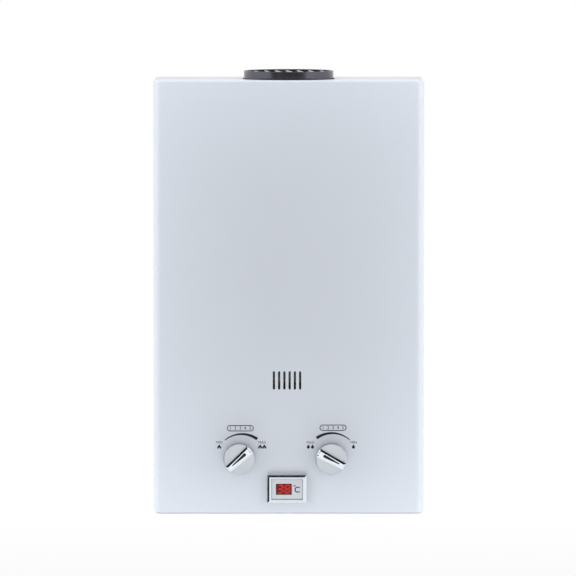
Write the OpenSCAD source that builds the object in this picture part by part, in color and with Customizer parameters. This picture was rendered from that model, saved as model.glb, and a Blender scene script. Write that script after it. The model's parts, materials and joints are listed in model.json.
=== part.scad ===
// Tankless gas water heater for wall mounting, with a natural draught flue.
// Sizes in millimetres. X runs to the right, Y towards the wall and Z up.
// Heights in the modules count from the bottom edge of the case, and placed() then moves
// the heater so that the origin lies in the middle of its wall face.

/* [Case] */
// Width over the cover
case_w = 330; // [300:1:370]
// Height of the cover
case_h = 530; // [515:1:580]
// Depth from the wall to the front face
case_d = 130; // [124:1:145]
// Thickness of the cover sheet
cover_sheet = 0.8; // [0.6:0.1:1.1]
// Radius of the upright front edges
edge_r = 10; // [6:0.5:14]
// Radius of the folds along the top and bottom edges
fold_r = 2.5; // [2:0.5:4]
// Width of the return lip under the cover
lip_w = 8; // [7:0.5:9]
// Gap between the wall and the rear edge of the cover
cover_back = 1; // [0.5:0.5:3]
// Gap between the cover and the back plate's flanges
cover_gap = 0.5; // [0.2:0.1:0.7]
// Thickness of the back plate sheet
plate_sheet = 1; // [0.8:0.1:1.4]
// Depth of the back plate's flanges
plate_flange = 14; // [10:1:18]
// Depth of the back plate's top flange
top_flange = 8; // [6:0.5:8.5]
// Depth of the back plate's cover screw tabs
tab_depth = 27; // [25:1:28]
// Height of the flange that carries a cover screw tab
tab_rise = 30; // [15:1:60]
// Length of a cover screw tab across the lip
tab_w = 13; // [12:0.5:16]

/* [Wall fixing] */
// Distance between the two keyholes
keyhole_pitch = 180; // [120:1:220]
// Drop of the keyholes below the top of the case
keyhole_drop = 42; // [36:1:90]
// Entry diameter of a keyhole
keyhole_d = 12; // [9:0.5:14]
// Slot diameter of a keyhole
keyhole_slot_d = 6; // [5:0.5:7]
// Rise of the keyhole slot above its entry
keyhole_rise = 12; // [9:0.5:16]
// Distance between the two lower wall screws
wall_screw_pitch = 220; // [160:1:260]
// Height of the lower wall screws
wall_screw_z = 60; // [50:1:90]
// Diameter of the lower wall screw holes
wall_screw_d = 6; // [4:0.5:8]

/* [Flue] */
// Outer diameter of the flue collar
flue_d = 110; // [100:1:112]
// Height of the collar above the case
flue_rise = 10; // [8:0.5:40]
// Wall of the collar
collar_wall = 1.2; // [0.8:0.1:2]
// Height of the stop bead round the collar
bead_h = 1.6; // [1:0.1:2]
// How far the stop bead stands out
bead_out = 1; // [0.6:0.1:1]
// Gap between the bead and the hole in the cover
flue_gap = 1; // [0.6:0.1:2]
// How far the collar's flange stands out to the sides
flange_out = 10; // [9:0.5:12]
// Gap between the collar's flange and the cover's front
flange_room = 6.2; // [5.6:0.1:6.4]
// Thickness of the collar's flange
flange_t = 1.5; // [1:0.1:2]
// Inset of the collar's screws from the flange edges
flue_screw_inset = 7; // [5:0.5:8]
// Drop of the hood below the top of the back plate
hood_drop = 5; // [4:0.5:8]
// Number of blades in the flue guard
guard_blades = 7; // [5:2:9]
// Distance between the blades
guard_pitch = 13.6; // [9:0.1:14]
// Thickness of a blade
guard_blade_t = 1.6; // [1:0.1:2.5]
// Lean of the blades
guard_lean = 28; // [0:1:35]
// Turn of the blades from straight back
guard_turn = 6; // [0:1:30]
// Height of the guard's ring
guard_h = 8; // [6:0.5:9]
// Wall of the guard's ring
guard_wall = 2.4; // [1.5:0.1:4]

/* [Front panel] */
// Height of the knob axes
knob_z = 68.5; // [66:0.5:70]
// Place of the temperature knob across the panel
gas_x = -60.5; // [-64:0.5:-58]
// Place of the water knob across the panel
water_x = 52; // [50:0.5:56]
// Diameter of the knob holes
knob_hole_d = 16; // [12:0.5:24]
// Number of flame sight slots
sight_slots = 6; // [3:1:9]
// Width of a sight slot
sight_w = 2.8; // [1.5:0.1:4]
// Height of a sight slot
sight_h = 22.5; // [12:0.5:30]
// Distance between the sight slots
sight_pitch = 6.4; // [5:0.1:8]
// Middle of the display and the sight slots across the panel
display_x = -2; // [-6:0.5:6]
// Height of the middle of the sight slots
sight_z = 164; // [150:1:176]
// Number of air slots in each side
air_slots = 9; // [4:1:14]
// Length of an air slot
air_slot_l = 64; // [30:1:80]
// Width of an air slot
air_slot_w = 3.2; // [2:0.1:5]
// Distance between the air slots
air_pitch = 10; // [7:0.5:14]
// Height of the lowest air slot
air_z = 100; // [60:1:200]

/* [Knobs] */
// Diameter of a knob
knob_d = 38.6; // [34:0.2:44]
// Height of the knob's disc
knob_disc_h = 8; // [6:0.5:10]
// Height of the knob over the grip
knob_h = 17; // [15:0.5:22]
// Width of the grip at its pointing end
grip_wide = 12.6; // [11:0.2:15]
// Width of the grip at its tail
grip_narrow = 9.6; // [8:0.2:11]
// Draft of the grip's flanks
grip_draft = 1.4; // [0.6:0.1:1.8]
// Width of the grip's bevels
grip_bevel = 1.9; // [1.2:0.1:2]
// Height of the grip's bevels
grip_slope = 1.4; // [0.8:0.1:1.8]
// Rounding of the disc's front edge
knob_edge_r = 1.5; // [0.6:0.1:2.5]
// Gap between the knob and the panel
knob_gap = 1; // [0.5:0.1:2]
// Angle of the temperature pointer from upright, clockwise
gas_angle = 48; // [40:1:56]
// Angle of the water pointer from upright, anticlockwise
water_angle = 62; // [52:1:70]
// Radius of the pointer inlay's wide end
pointer_wide = 1.8; // [1.2:0.1:2.4]
// Radius of the pointer inlay's narrow end
pointer_narrow = 0.6; // [0.4:0.1:1]
// Distance of the pointer inlay's ends from the axis
pointer_reach = 11; // [8:0.5:13]
// Depth of the pointer inlay
pointer_t = 0.8; // [0.4:0.1:1.5]

/* [Display] */
// Height of the middle of the display
display_z = 30.7; // [28:0.1:32]
// Width of the bezel
bezel_w = 48.2; // [47:0.1:52]
// Height of the bezel
bezel_h = 34.4; // [33.6:0.1:37]
// How far the bezel stands out from the panel
bezel_out = 4; // [2.5:0.1:6]
// Width of the bezel's bevel
bezel_bevel = 2.6; // [1.5:0.1:3.4]
// Width of the panel in the bezel
face_w = 38.3; // [36:0.1:40]
// Height of the panel in the bezel
face_h = 25.7; // [24:0.1:26]
// Thickness of the panel in the bezel
face_t = 1.2; // [0.8:0.1:2]
// Step of the panel below the bezel's front
face_step = 0.8; // [0.4:0.1:1.2]
// Width of the digit window
lens_w = 19.4; // [16:0.1:22]
// Height of the digit window
lens_h = 13.6; // [11:0.1:15]
// Place of the digit window from the middle of the display
lens_x = -3.9; // [-6:0.1:0]
// Play round the digit window and the panel
lens_gap = 0.15; // [0.1:0.05:0.3]
// Depth of the housing behind the panel
housing_d = 14.2; // [12:0.1:16]
// Wall of the housing behind the panel
housing_wall = 1.6; // [1.2:0.1:2]

/* [Heat exchanger] */
// Room beside the combustion shell
shell_side = 65; // [62:0.5:67]
// Room between the gas manifold and the cover's front
front_room = 7.2; // [7:0.1:9]
// Height of the combustion shell
shell_h = 245; // [235:1:255]
// Sheet of the combustion shell and the hood
shell_sheet = 0.8; // [0.6:0.1:1]
// Corner radius of the combustion shell
shell_r = 8; // [6:0.5:10]
// Gap between the shell and the back plate's wall face
shell_back = 16; // [15.5:0.5:17]
// Drop of the water tubes below the shell's top
tube_drop = 40; // [34:1:60]
// Outer diameter of the copper tubes
tube_d = 11; // [9:0.5:11]
// Wall of the copper tubes
tube_wall = 0.8; // [0.6:0.1:1.2]
// Number of tube passes through the fins
tube_passes = 6; // [6:2:6]
// Gap between the outer tubes and the shell
tube_side = 3.45; // [3:0.05:4]
// How far the tubes stand out of the shell
tube_stub = 6; // [5:0.5:6]
// Distance between the fins
fin_pitch = 6; // [3:0.1:8]
// Thickness of a fin
fin_t = 0.5; // [0.3:0.1:0.8]
// Height of a fin
fin_h = 40; // [24:1:50]
// Overlap of the hood over the shell
hood_overlap = 8; // [4:1:12]
// Height of the draught opening above the shell
draft_z = 30; // [20:1:36]
// Height of the draught opening
draft_h = 26; // [16:1:30]
// Distance of the draught opening from the shell's sides
draft_margin = 40; // [30:1:60]
// Height of the lowest coil turn above the shell's bottom
coil_low = 40; // [36:1:48]
// Rise of one coil turn
coil_rise = 40; // [30:1:60]
// Gap between the coil and the shell
coil_gap = 0.5; // [0.3:0.1:0.8]
// Bend radius of the copper pipes
pipe_bend = 11; // [10:0.5:11]
// Gap between the hot pipe and the coil
hot_gap = 5; // [3:0.5:6]
// Height of the hot pipe's step above its nipple
hot_step = 31; // [28:1:40]
// Drop of the overheat sensor below the water tubes
sensor_drop = 65; // [50:1:80]

/* [Burner] */
// Height of the burner tray's bottom
tray_z = 100; // [99:1:104]
// Height of the burner tray
tray_h = 60; // [56:1:64]
// Sheet of the burner tray
tray_sheet = 1; // [0.8:0.1:1.4]
// Width of the tray's ledges under the burner bars
tray_ledge = 12; // [8:1:16]
// Height of the burner bars above the tray's bottom
bar_lift = 10; // [8:0.5:11]
// Distance between the burner bars
bar_pitch = 18; // [16:0.5:19]
// Width of a burner bar
bar_w = 12; // [10:0.5:13]
// Height of a burner bar's mixing tube
bar_duct = 20; // [18:1:22]
// Height of a burner bar
bar_h = 37; // [35:1:40]
// Number of flame ports in a burner bar
port_count = 9; // [5:1:13]
// Width of a flame port
port_w = 1.2; // [0.8:0.1:1.8]
// Diameter of a mixing tube's mouth
venturi_d = 8.4; // [7:0.2:9]
// Thickness of the gas manifold
manifold_t = 12; // [10:0.5:12]
// Height of the gas manifold
manifold_h = 14; // [12:0.5:16]
// Distance of the manifold's ends from the tray's sides
manifold_end = 7; // [4:0.5:11]
// Gap between the manifold and the burner tray
manifold_gap = 2; // [1.5:0.1:2.5]
// Diameter of a gas injector
injector_d = 7; // [6:0.2:8]
// Height of the electrodes above the burner bars
electrode_lift = 5; // [4.5:0.5:7]
// Distance of the electrodes from the middle
electrode_x = 30; // [24:1:34]

/* [Ignition] */
// Width of the ignition module
module_w = 44; // [40:1:46]
// Height of the ignition module
module_h = 60; // [56:1:70]
// Depth of the ignition module
module_d = 37; // [35:1:40]
// Distance of the ignition module from the case's side
module_inset = 7; // [6:0.5:9]
// Height of the ignition module above the burner tray's bottom
module_lift = 8; // [4:1:10]

/* [Valves] */
// Distance of the valve axes behind the front face
valve_back = 57; // [56:0.5:58]
// Width of the gas valve body
gas_body_w = 52; // [50:1:54]
// Depth of the valve bodies
body_d = 50; // [48:1:52]
// Height of the valve bodies
body_h = 49; // [46:1:49]
// Height of the bottom of the valve bodies
body_z = 44; // [43:0.5:46]
// Width of the gas riser to the manifold
riser_w = 28; // [24:1:32]
// Width of the water valve body
water_body_w = 45; // [43:1:46]
// Diameter of the spindles
spindle_d = 8; // [6:0.2:9]
// Play between a spindle and its bore
spindle_play = 0.05; // [0.02:0.01:0.09]
// Depth of the spindles in the valve bodies
spindle_depth = 22; // [16:1:24]
// Length of the spindle bosses
boss_l = 8; // [6:0.5:10]
// Diameter of the spindle bosses
boss_d = 20; // [16:0.5:21]
// Diameter of the diaphragm housing
diaphragm_d = 54; // [50:1:56]
// Thickness of the diaphragm
diaphragm_t = 1.6; // [1:0.1:2.4]
// Place of the diaphragm across the heater
diaphragm_x = 20; // [19:0.5:21]
// Thickness of the diaphragm housing's cover
diaphragm_lid = 12; // [11.5:0.1:14]
// Thickness of the diaphragm housing's flange on the water valve
water_disc_t = 11.4; // [10:0.2:13]
// Depth of the chambers on both sides of the diaphragm
chamber_h = 7.5; // [7:0.1:8]
// Diameter of the push rod
rod_d = 6; // [5:0.2:7]
// Play between the push rod and its bores
rod_play = 0.06; // [0.02:0.01:0.09]
// Travel of the push rod
rod_travel = 4; // [2:0.5:4]
// Place of the push rod's spring flange across the heater
flag_x = -6; // [-7:0.5:-5]
// Number of screws round the diaphragm
valve_screw_count = 6; // [6:2:8]
// Diameter of the return spring over its middle line
spring_d = 11; // [10:0.2:12]
// Diameter of the return spring's wire
spring_wire = 1.4; // [1:0.1:1.8]
// Number of curls of the return spring
spring_curls = 7; // [5:1:9]
// Diameter of the gas solenoid
solenoid_d = 24; // [20:0.5:26]
// Length of the gas solenoid
solenoid_l = 24; // [20:0.5:27]
// Height of the gas solenoid above the knob axes
solenoid_lift = 9; // [6:0.5:10]
// Drop of the microswitch and the hot outlet below the bodies' top
top_drop = 11; // [10:0.5:11.5]

/* [Pipes] */
// Outer diameter of the half inch pipe thread
thread_d = 20.96; // [19:0.02:21.2]
// Bore of the nipples and of the valves' ports
bore_d = 14; // [12:0.5:15]
// Height of the nipples' open ends
nipple_z = 4; // [2:0.5:6]
// Height of the connection shelf
shelf_z = 26; // [25:0.5:28]
// Thickness of the connection shelf
shelf_sheet = 1.5; // [1:0.1:1.8]
// Depth of the connection shelf
shelf_d = 99; // [95:1:103]
// Thickness of the lock nuts
nut_h = 7; // [5:0.5:8]
// Width across the flats of the lock nuts
nut_af = 27; // [25:0.5:29]
// Play between the thread and the lock nuts
nut_play = 0.08; // [0.05:0.01:0.09]
// Diameter of the drain plug's grip
drain_d = 15; // [13:0.5:16]

/* [Battery] */
// Diameter of a battery cell
cell_d = 33; // [30:0.5:33.5]
// Length of a battery cell
cell_l = 61; // [55:0.5:61.5]
// Wall of the battery box
box_wall = 2; // [1.5:0.1:2.5]
// Play round the battery cells
cell_play = 0.5; // [0.4:0.1:1]
// Distance of the battery box from the case's side
box_inset = 13; // [12:0.5:14]
// Gap between the wall and the battery box
box_stand = 34; // [32:0.5:36]
// Thickness of the battery lid
lid_t = 2; // [1.5:0.1:2.4]
// Height of the battery lid's underside
lid_z = 4; // [3.5:0.1:5]
// Gap between the lid and the box, and between the lid and the cells
lid_gap = 0.4; // [0.3:0.1:0.8]
// Diameter of the lid's hinge pin
pin_d = 3; // [2:0.1:3.2]
// Play between the hinge pin and the lid
pin_play = 0.06; // [0.02:0.01:0.09]

/* [Hidden] */
$fn = 64;
// Overlap of a cutter past the faces it opens
cut = 1;
// Play between pieces that stay put
seat = 0.15;
// Height of the thin slices at a tapered form's ends
slice = 0.01;
// Step of the grid that pipes and leads are placed on, so that their pieces meet face to face
grid = 1 / 8;

// Small sizes of the case and its screws
tab_gap = 0.3;
cover_screw_back = 21;
cover_screw_inset = 5.2;
screw_d = 3.5;
screw_l = 7;
screw_head_d = 7.2;
screw_head_h = 2;
screw_taper = 0.6;
screw_slot = 1;
screw_play = 0.15;
tap_play = 0.05;

// Small sizes of the flue
collar_ledge = 1.6;
bead_lift = 0.3;
flange_r = 5;
guard_play = 0.35;
guard_drop = 0.6;
blade_drop = 0.4;
hood_rim = 0.5;

// Small sizes of the knobs
knob_foot_h = 1;
knob_foot_in = 0.6;
grip_end_r = 4;
pointer_play = 0.05;
spindle_in = 12;
end_room = 0.5;
tip_room = 1;

// Small sizes of the display
bezel_slope = 1.8;
barrel_wall = 1.8;
barrel_l = 6;
ledge_w = 1.6;
lens_step = 0.2;
board_t = 1.6;
board_gap = 0.5;
digit_margin = 1;
post_d = 4;
post_inset = 3.5;

// Small sizes of the heat exchanger and its brackets
window_w = 36;
window_h = 18;
window_z = 4;
glass_margin = 3;
glass_t = 0.8;
fin_gap = 1;
fin_end = 9;
pipe_lead = 1;
union_af = 17;
nut_gap = 0.5;
union_gap = 1.4;
union_l = 6;
clip_wall = 2;
clip_h = 8;
sensor_neck_d = 10;
sensor_head_d = 15;
sensor_head_h = 5;
sensor_out = 11;
sensor_tab = 9;
bracket_w = 24;
bracket_t = 1.2;
bracket_h = 24;
bracket_drop = 34;
bracket_margin = 35;
tray_bracket_z = 20;

// Small sizes of the burner and its ignition
bar_end = 4;
bar_gap = 2;
bar_neck = 6;
bar_head = 10;
bar_r = 4;
bar_head_r = 2;
port_depth = 3;
port_margin = 1.5;
venturi_l = 30;
manifold_foot = 6;
injector_head = 3;
injector_thread = 5;
injector_thread_l = 4.5;
injector_bore = 1.2;
injector_gap = 1;
electrode_d = 6.8;
electrode_l = 15;
electrode_in = 5;
electrode_collar = 1.8;
electrode_collar_t = 2;
electrode_play = 0.2;
electrode_wire = 2.2;
spark_tip = 14;
flame_tip = 24;
module_r = 3;
terminal_d = 8;
terminal_l = 4;
terminal_in = 12;
terminal_pitch = 16;
lead_d = 3;
lead_bend = 3;

// Small sizes of the valves
body_r = 4;
riser_bore = 8;
gland_l = 5;
gland_af = 16;
chamber_rim = 8;
rod_in = 15.5;
rod_room = 1.5;
plate_room = 0.6;
plate_t = 2.2;
plate_gap = 3;
flag_t = 2;
flag_d = 17;
rod_boss_d = 16;
rod_boss_l = 7;
valve_screw_d = 4;
valve_screw_rim = 4;
valve_head_d = 6.8;
valve_head_h = 3;
tie_d = 7;
tie_rim = 5;
spring_gap = 0.3;
solenoid_cap_d = 16;
solenoid_cap_l = 3;
switch_l = 21;
switch_w = 10;
switch_h = 12;
ear_t = 1.6;
lever_l = 23;
lever_w = 5;
lever_t = 0.6;
lever_pin_d = 1.6;
lever_drop = 1.8;
lever_in = 2.5;
button_d = 2;
button_h = 0.7;

// Small sizes of the pipes and the drain
port_l = 9;
thread_chamfer = 0.8;
relief_w = 1;
collar_h = 8.5;
shelf_margin = 15;
shelf_front = 5;
shelf_rear = 16;
hole_play = 0.4;
outlet_d = 18;
outlet_l = 10;
drain_stem_d = 9;
drain_stem_l = 14;
drain_low = 14;
wing_h = 9;
drain_drop = 8;
drain_in = 10;
drain_back = 17;
drain_gap = 2;

// Small sizes of the battery box
cell_cap_d = 9.4;
cell_cap_h = 2.5;
contact_h = 2;
contact_tip = 8;
contact_foot = 16;
box_foot = 12;
lid_side = 0.5;
finger_w = 16;
finger_l = 5;
hinge_out = 3.6;
knuckle_wall = 1.4;
knuckle_l = 18;
box_knuckle = 9;

// Case
inner_front = -(case_d - cover_sheet);
plate_x = case_w / 2 - cover_sheet - cover_gap;
plate_top = case_h - cover_sheet - cover_gap;
plate_bottom = cover_sheet + tab_gap;
cover_screw = [case_w / 2 - cover_screw_inset, -cover_screw_back];
screw_r = screw_d / 2;
keyhole_z = case_h - keyhole_drop;

// Burner and heat exchanger
shell_w = case_w - 2 * shell_side;
shell_d = case_d - cover_sheet - front_room - manifold_t - manifold_gap - shell_back;
shell_y = -shell_back - shell_d / 2;
shell_z = tray_z + tray_h;
shell_top = shell_z + shell_h;
tray_front = shell_y - shell_d / 2;
tray_back = -shell_back;
bracket_x = shell_w / 2 - bracket_margin;
tube_r = tube_d / 2;
tube_pitch = (shell_d - 2 * shell_sheet - tube_d - 2 * tube_side) / (tube_passes - 1);
tube_z = shell_top - tube_drop;
tube_end = shell_w / 2 + tube_stub;
tube_back = shell_y + tube_pitch * (tube_passes - 1) / 2;
tube_front = shell_y - tube_pitch * (tube_passes - 1) / 2;
fin_count = 2 * floor((shell_w / 2 - fin_end) / fin_pitch) + 1;
bar_count = floor((shell_w - 2 * tray_sheet - 2 * bar_end) / bar_pitch);
bar_l = shell_d - 2 * tray_sheet - 2 * bar_gap;
bar_z = tray_z + bar_lift;
burner_z = bar_z + bar_duct / 2;
electrode_r = electrode_d / 2;
electrode_z = bar_z + bar_h + electrode_lift;
electrode_end = tray_front + electrode_in - electrode_l;
manifold_back = tray_front - manifold_gap;
manifold_z = burner_z - manifold_h / 2;

// Flue
flue_y = -case_d / 2;
flue_r = flue_d / 2;
flue_top = case_h + flue_rise;
flange_w = flue_d + 2 * flange_out;
flange_d = case_d - 2 * cover_sheet - 2 * flange_room;
hood_top = plate_top - hood_drop;
collar_in = flue_r - collar_wall;
collar_bore = collar_in - collar_ledge;
guard_r = collar_in - guard_play;
guard_z = flue_top - guard_h - guard_drop;
flue_screw = [flange_w / 2 - flue_screw_inset, flange_d / 2 - flue_screw_inset];

// Valves
valve_y = -(case_d - valve_back);
gas_right = gas_x + gas_body_w / 2;
gas_left = gas_x - gas_body_w / 2;
body_front = valve_y - body_d / 2;
body_top = body_z + body_h;
bore_r = bore_d / 2;
spindle_r = spindle_d / 2;
spindle_bore = spindle_r + spindle_play;
spindle_back = body_front + spindle_depth;
knob_back = -(case_d + knob_gap);
spindle_l = spindle_back - knob_back + spindle_in;
diaphragm_r = diaphragm_d / 2;
chamber_r = diaphragm_r - chamber_rim;
lid_x = diaphragm_x - diaphragm_lid;
water_disc_x = diaphragm_x + diaphragm_t;
water_left = water_disc_x + water_disc_t;
water_right = water_left + water_body_w;
outlet_z = body_top - top_drop;
rod_r = rod_d / 2;
rod_bore = rod_r + rod_play;
rod_tip = gas_right - rod_in;
rod_end = diaphragm_x - plate_room;
valve_screw_r = valve_screw_d / 2;
valve_screw_ring = diaphragm_r - valve_screw_rim;
tie_y = diaphragm_r - tie_rim;
solenoid_z = knob_z + solenoid_lift;
drain = [water_right - drain_in, valve_y + drain_back];
drain_z = body_z - drain_drop;
drain_top = drain_z - end_room;
switch_z = body_top - top_drop;
lever_pin = [gas_right + lever_in, switch_z - lever_drop];
lever_pin_l = switch_w - 2 * end_room;
spring_start = gas_right + spring_gap + spring_wire / 2;
spring_end = flag_x - spring_gap - spring_wire / 2;
spring_rings = 8;
spring_sides = 6;

// Pipes
coil_side = shell_w / 2 + coil_gap + tube_r;
coil_front = tray_front - coil_gap - tube_r;
coil_back = tray_back + coil_gap + tube_r;
coil_out = tube_end + pipe_lead + pipe_bend;
coil_riser = max(coil_side, water_right + outlet_l + pipe_lead + pipe_bend);
hot_x = -(coil_out + 2 * tube_r + hot_gap);
hot_turn = body_z + hot_step;
sensor_z = tube_z - sensor_drop;
thread_r = thread_d / 2;
shelf_top = shelf_z + shelf_sheet;
relief_z = shelf_z - nut_h - relief_w;

// Battery
box_right = case_w / 2 - box_inset;
box_in_w = cell_d + 2 * cell_play;
box_in_d = 2 * cell_d + 3 * cell_play;
box_half = box_in_w / 2 + box_wall;
box_x = box_right - box_half;
box_back = -box_stand;
box_front = box_back - box_in_d - 2 * box_wall;
box_y = (box_front + box_back) / 2;
box_z = lid_z + lid_t + lid_gap;
cell_z = box_z + lid_gap;
cell_y = (cell_d + cell_play) / 2;
box_roof = cell_z + cell_l + contact_h;
hinge_y = box_back + hinge_out;
hinge_z = lid_z + lid_t / 2;
knuckle_r = pin_d / 2 + knuckle_wall;

// Ignition module, and places of the leads chosen clear of the pieces that they pass
module_left = -case_w / 2 + module_inset;
module_right = module_left + module_w;
module_front = -plate_sheet - module_d;
module_z = tray_z + module_lift;
lead_r = lead_d / 2;
lead_end = module_front - terminal_l;
lead_low = electrode_z - terminal_d - lead_r;
lead_front = electrode_end - 2 * lead_bend;
lead_middle = (module_right - shell_w / 2) / 2;
lead_side = [lead_middle - lead_d, lead_middle + lead_d];
terminal_x = [module_left + terminal_in + terminal_pitch, module_left + terminal_in];
control_x = [module_left + 13, module_left + 8, module_left + 3, module_right - 10, hot_x - 17];
control_y = [-30, -25, -20, -14];

// Display
barrel_w = face_w + 2 * barrel_wall;
barrel_h = face_h + 2 * barrel_wall;
barrel_back = -(case_d - barrel_l);
bezel_front = -(case_d + bezel_out);
face_front = bezel_front + face_step;

// Moves the heater so that the origin is the middle of its wall face
module placed() {
    translate([0, 0, -case_h / 2]) children();
}

// Box between two opposite corners
module block(a, b) {
    translate(a) cube(b - a);
}

// Turns what is drawn in X-Y to face the front, starting at depth y
module to_front(x, y, z) {
    translate([x, y, z]) rotate([90, 0, 0]) children();
}

// Turns what is drawn upright to run along +X
module to_right(x, y, z) {
    translate([x, y, z]) rotate([0, 90, 0]) children();
}

// Row of children at an even pitch across the heater, its middle at x = 0
module row(count, pitch) {
    for (i = [0 : count - 1]) translate([(i - (count - 1) / 2) * pitch, 0, 0]) children();
}

// Rectangle with round corners, centred
module rounded_rect(w, h, r) {
    square([w - 2 * r, h], center = true);
    square([w, h - 2 * r], center = true);
    for (sx = [-1, 1], sy = [-1, 1]) translate([sx * (w / 2 - r), sy * (h / 2 - r)]) circle(r);
}

// Upright slot with round ends, centred
module slot_shape(l, w) {
    square([w, l - w], center = true);
    for (s = [-1, 1]) translate([0, s * (l - w) / 2]) circle(w / 2);
}

// Rectangle from corner a to corner b with its two left corners rounded
module left_rounded(a, b, r) {
    translate([a.x + r, a.y]) square([b.x - a.x - r, b.y - a.y]);
    translate([a.x, a.y + r]) square([r, b.y - a.y - 2 * r]);
    for (y = [a.y + r, b.y - r]) translate([a.x + r, y]) circle(r);
}

// Hexagonal prism by its width across the flats, with a bore if its radius is given
module hex(af, h, bore = 0) {
    difference() {
        cylinder(h = h, r = af / sqrt(3), $fn = 6);
        if (bore > 0) translate([0, 0, -cut]) cylinder(h = h + 2 * cut, r = bore);
    }
}

// Slotted screw pointing up, with its head below z = 0
module screw() {
    head_r = screw_head_d / 2;
    difference() {
        translate([0, 0, -screw_head_h])
            cylinder(h = screw_head_h, r1 = head_r - screw_taper, r2 = head_r);
        translate([0, 0, -screw_head_h]) cube([screw_head_d, screw_slot, 2 * screw_slot], center = true);
    }
    cylinder(h = screw_l, r = screw_r);
}

// Helpers for pipes and leads that follow a list of points
function unit(v) = v / norm(v);
function snapped(c) = round(c / grid) * grid;
function on_grid(p) = [for (v = p) [snapped(v.x), snapped(v.y), snapped(v.z)]];
function turn_angle(a, b, c) = acos(unit(b - a) * unit(c - b));
function lead_in(a, b, c, r) = r * tan(turn_angle(a, b, c) / 2);
function stretched(p) = [for (i = [0 : len(p) - 1])
    i == 0 ? p[0] + unit(p[0] - p[1]) : i == len(p) - 1 ? p[i] + unit(p[i] - p[i - 1]) : p[i]];

// Straight rod between two points
module rod_between(a, b, r) {
    d = b - a;
    translate(a) rotate([0, acos(d.z / norm(d)), atan2(d.y, d.x)]) cylinder(h = norm(d), r = r);
}

// Bend of a rod at point b on its way from a to c
module bend(a, b, c, r, bend_r) {
    u = unit(b - a);
    v = unit(c - b);
    n = unit(v - (v * u) * u);
    w = cross(u, n);
    o = b - u * lead_in(a, b, c, bend_r) + n * bend_r;
    multmatrix([[-n.x, u.x, w.x, o.x], [-n.y, u.y, w.y, o.y], [-n.z, u.z, w.z, o.z], [0, 0, 0, 1]])
        rotate_extrude(angle = turn_angle(a, b, c)) translate([bend_r, 0]) circle(r);
}

// Rod along a list of points with round bends
module bent_rod(points, r, bend_r) {
    p = on_grid(points);
    last = len(p) - 1;
    for (i = [0 : last - 1]) {
        d = unit(p[i + 1] - p[i]);
        from = i == 0 ? 0 : lead_in(p[i - 1], p[i], p[i + 1], bend_r);
        to = i == last - 1 ? 0 : lead_in(p[i], p[i + 1], p[i + 2], bend_r);
        rod_between(p[i] + d * from, p[i + 1] - d * to, r);
        if (i < last - 1) bend(p[i], p[i + 1], p[i + 2], r, bend_r);
    }
}

// Pipe along a list of points, open at both ends
module bent_pipe(p) {
    difference() {
        bent_rod(p, tube_r, pipe_bend);
        bent_rod(stretched(p), tube_r - tube_wall, pipe_bend);
    }
}

// Lead along a list of points
module lead(p) {
    bent_rod(p, lead_r, lead_bend);
}

// Body of the cover, shrunk all round by the inset and reaching back to the given depth
module cover_form(inset, back) {
    w = case_w / 2 - inset;
    d = case_d - inset;
    intersection() {
        linear_extrude(height = case_h) rotate(90) left_rounded([-d, -w], [back, w], edge_r - inset);
        translate([-case_w / 2, 0, 0]) rotate([90, 0, 90]) linear_extrude(height = case_w)
            left_rounded([-d, inset], [back, case_h - inset], fold_r - inset);
        to_front(0, back, case_h / 2) linear_extrude(height = case_d + back)
            rounded_rect(2 * w, case_h - 2 * inset, fold_r - inset);
    }
}

// Cuts through the cover's front sheet what is drawn in X-Y
module front_cut(x, z) {
    to_front(x, inner_front + cut, z) linear_extrude(height = cover_sheet + 2 * cut) children();
}

module front_cover() {
    w = case_w / 2 - cover_sheet - lip_w;
    color("gainsboro") difference() {
        cover_form(0, -cover_back);
        cover_form(cover_sheet, cut);
        block([-w, inner_front + lip_w, -cut], [w, cut, 2 * cut]);
        translate([0, flue_y, case_h - 2 * cut]) cylinder(h = 4 * cut, r = flue_r + bead_out + flue_gap);
        for (x = [gas_x, water_x]) front_cut(x, knob_z) circle(knob_hole_d / 2);
        front_cut(display_x, display_z) square([barrel_w + 2 * seat, barrel_h + 2 * seat], center = true);
        row(sight_slots, sight_pitch) front_cut(display_x, sight_z) slot_shape(sight_h, sight_w);
        for (s = [-1, 1], i = [0 : air_slots - 1])
            to_right(s * (case_w / 2 - cover_sheet / 2) - 2 * cut, flue_y, air_z + i * air_pitch)
                linear_extrude(height = 4 * cut) slot_shape(air_slot_l, air_slot_w);
        for (s = [-1, 1]) translate([s * cover_screw.x, cover_screw.y, -cut])
            cylinder(h = cover_sheet + 2 * cut, r = screw_r + screw_play);
    }
}

// Sheet of the back plate with its flanges and cover screw tabs
module plate_form() {
    block([-plate_x, -plate_sheet, plate_bottom], [plate_x, 0, plate_top]);
    block([-plate_x, -top_flange, plate_top - plate_sheet], [plate_x, 0, plate_top]);
    for (s = [0, 1]) mirror([s, 0, 0]) {
        block([plate_x - plate_sheet, -plate_flange, plate_bottom], [plate_x, 0, plate_top]);
        block([plate_x - plate_sheet, -tab_depth, plate_bottom], [plate_x, 0, tab_rise]);
        block([plate_x - tab_w, -tab_depth, plate_bottom], [plate_x, 0, plate_bottom + plate_sheet]);
    }
}

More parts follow.
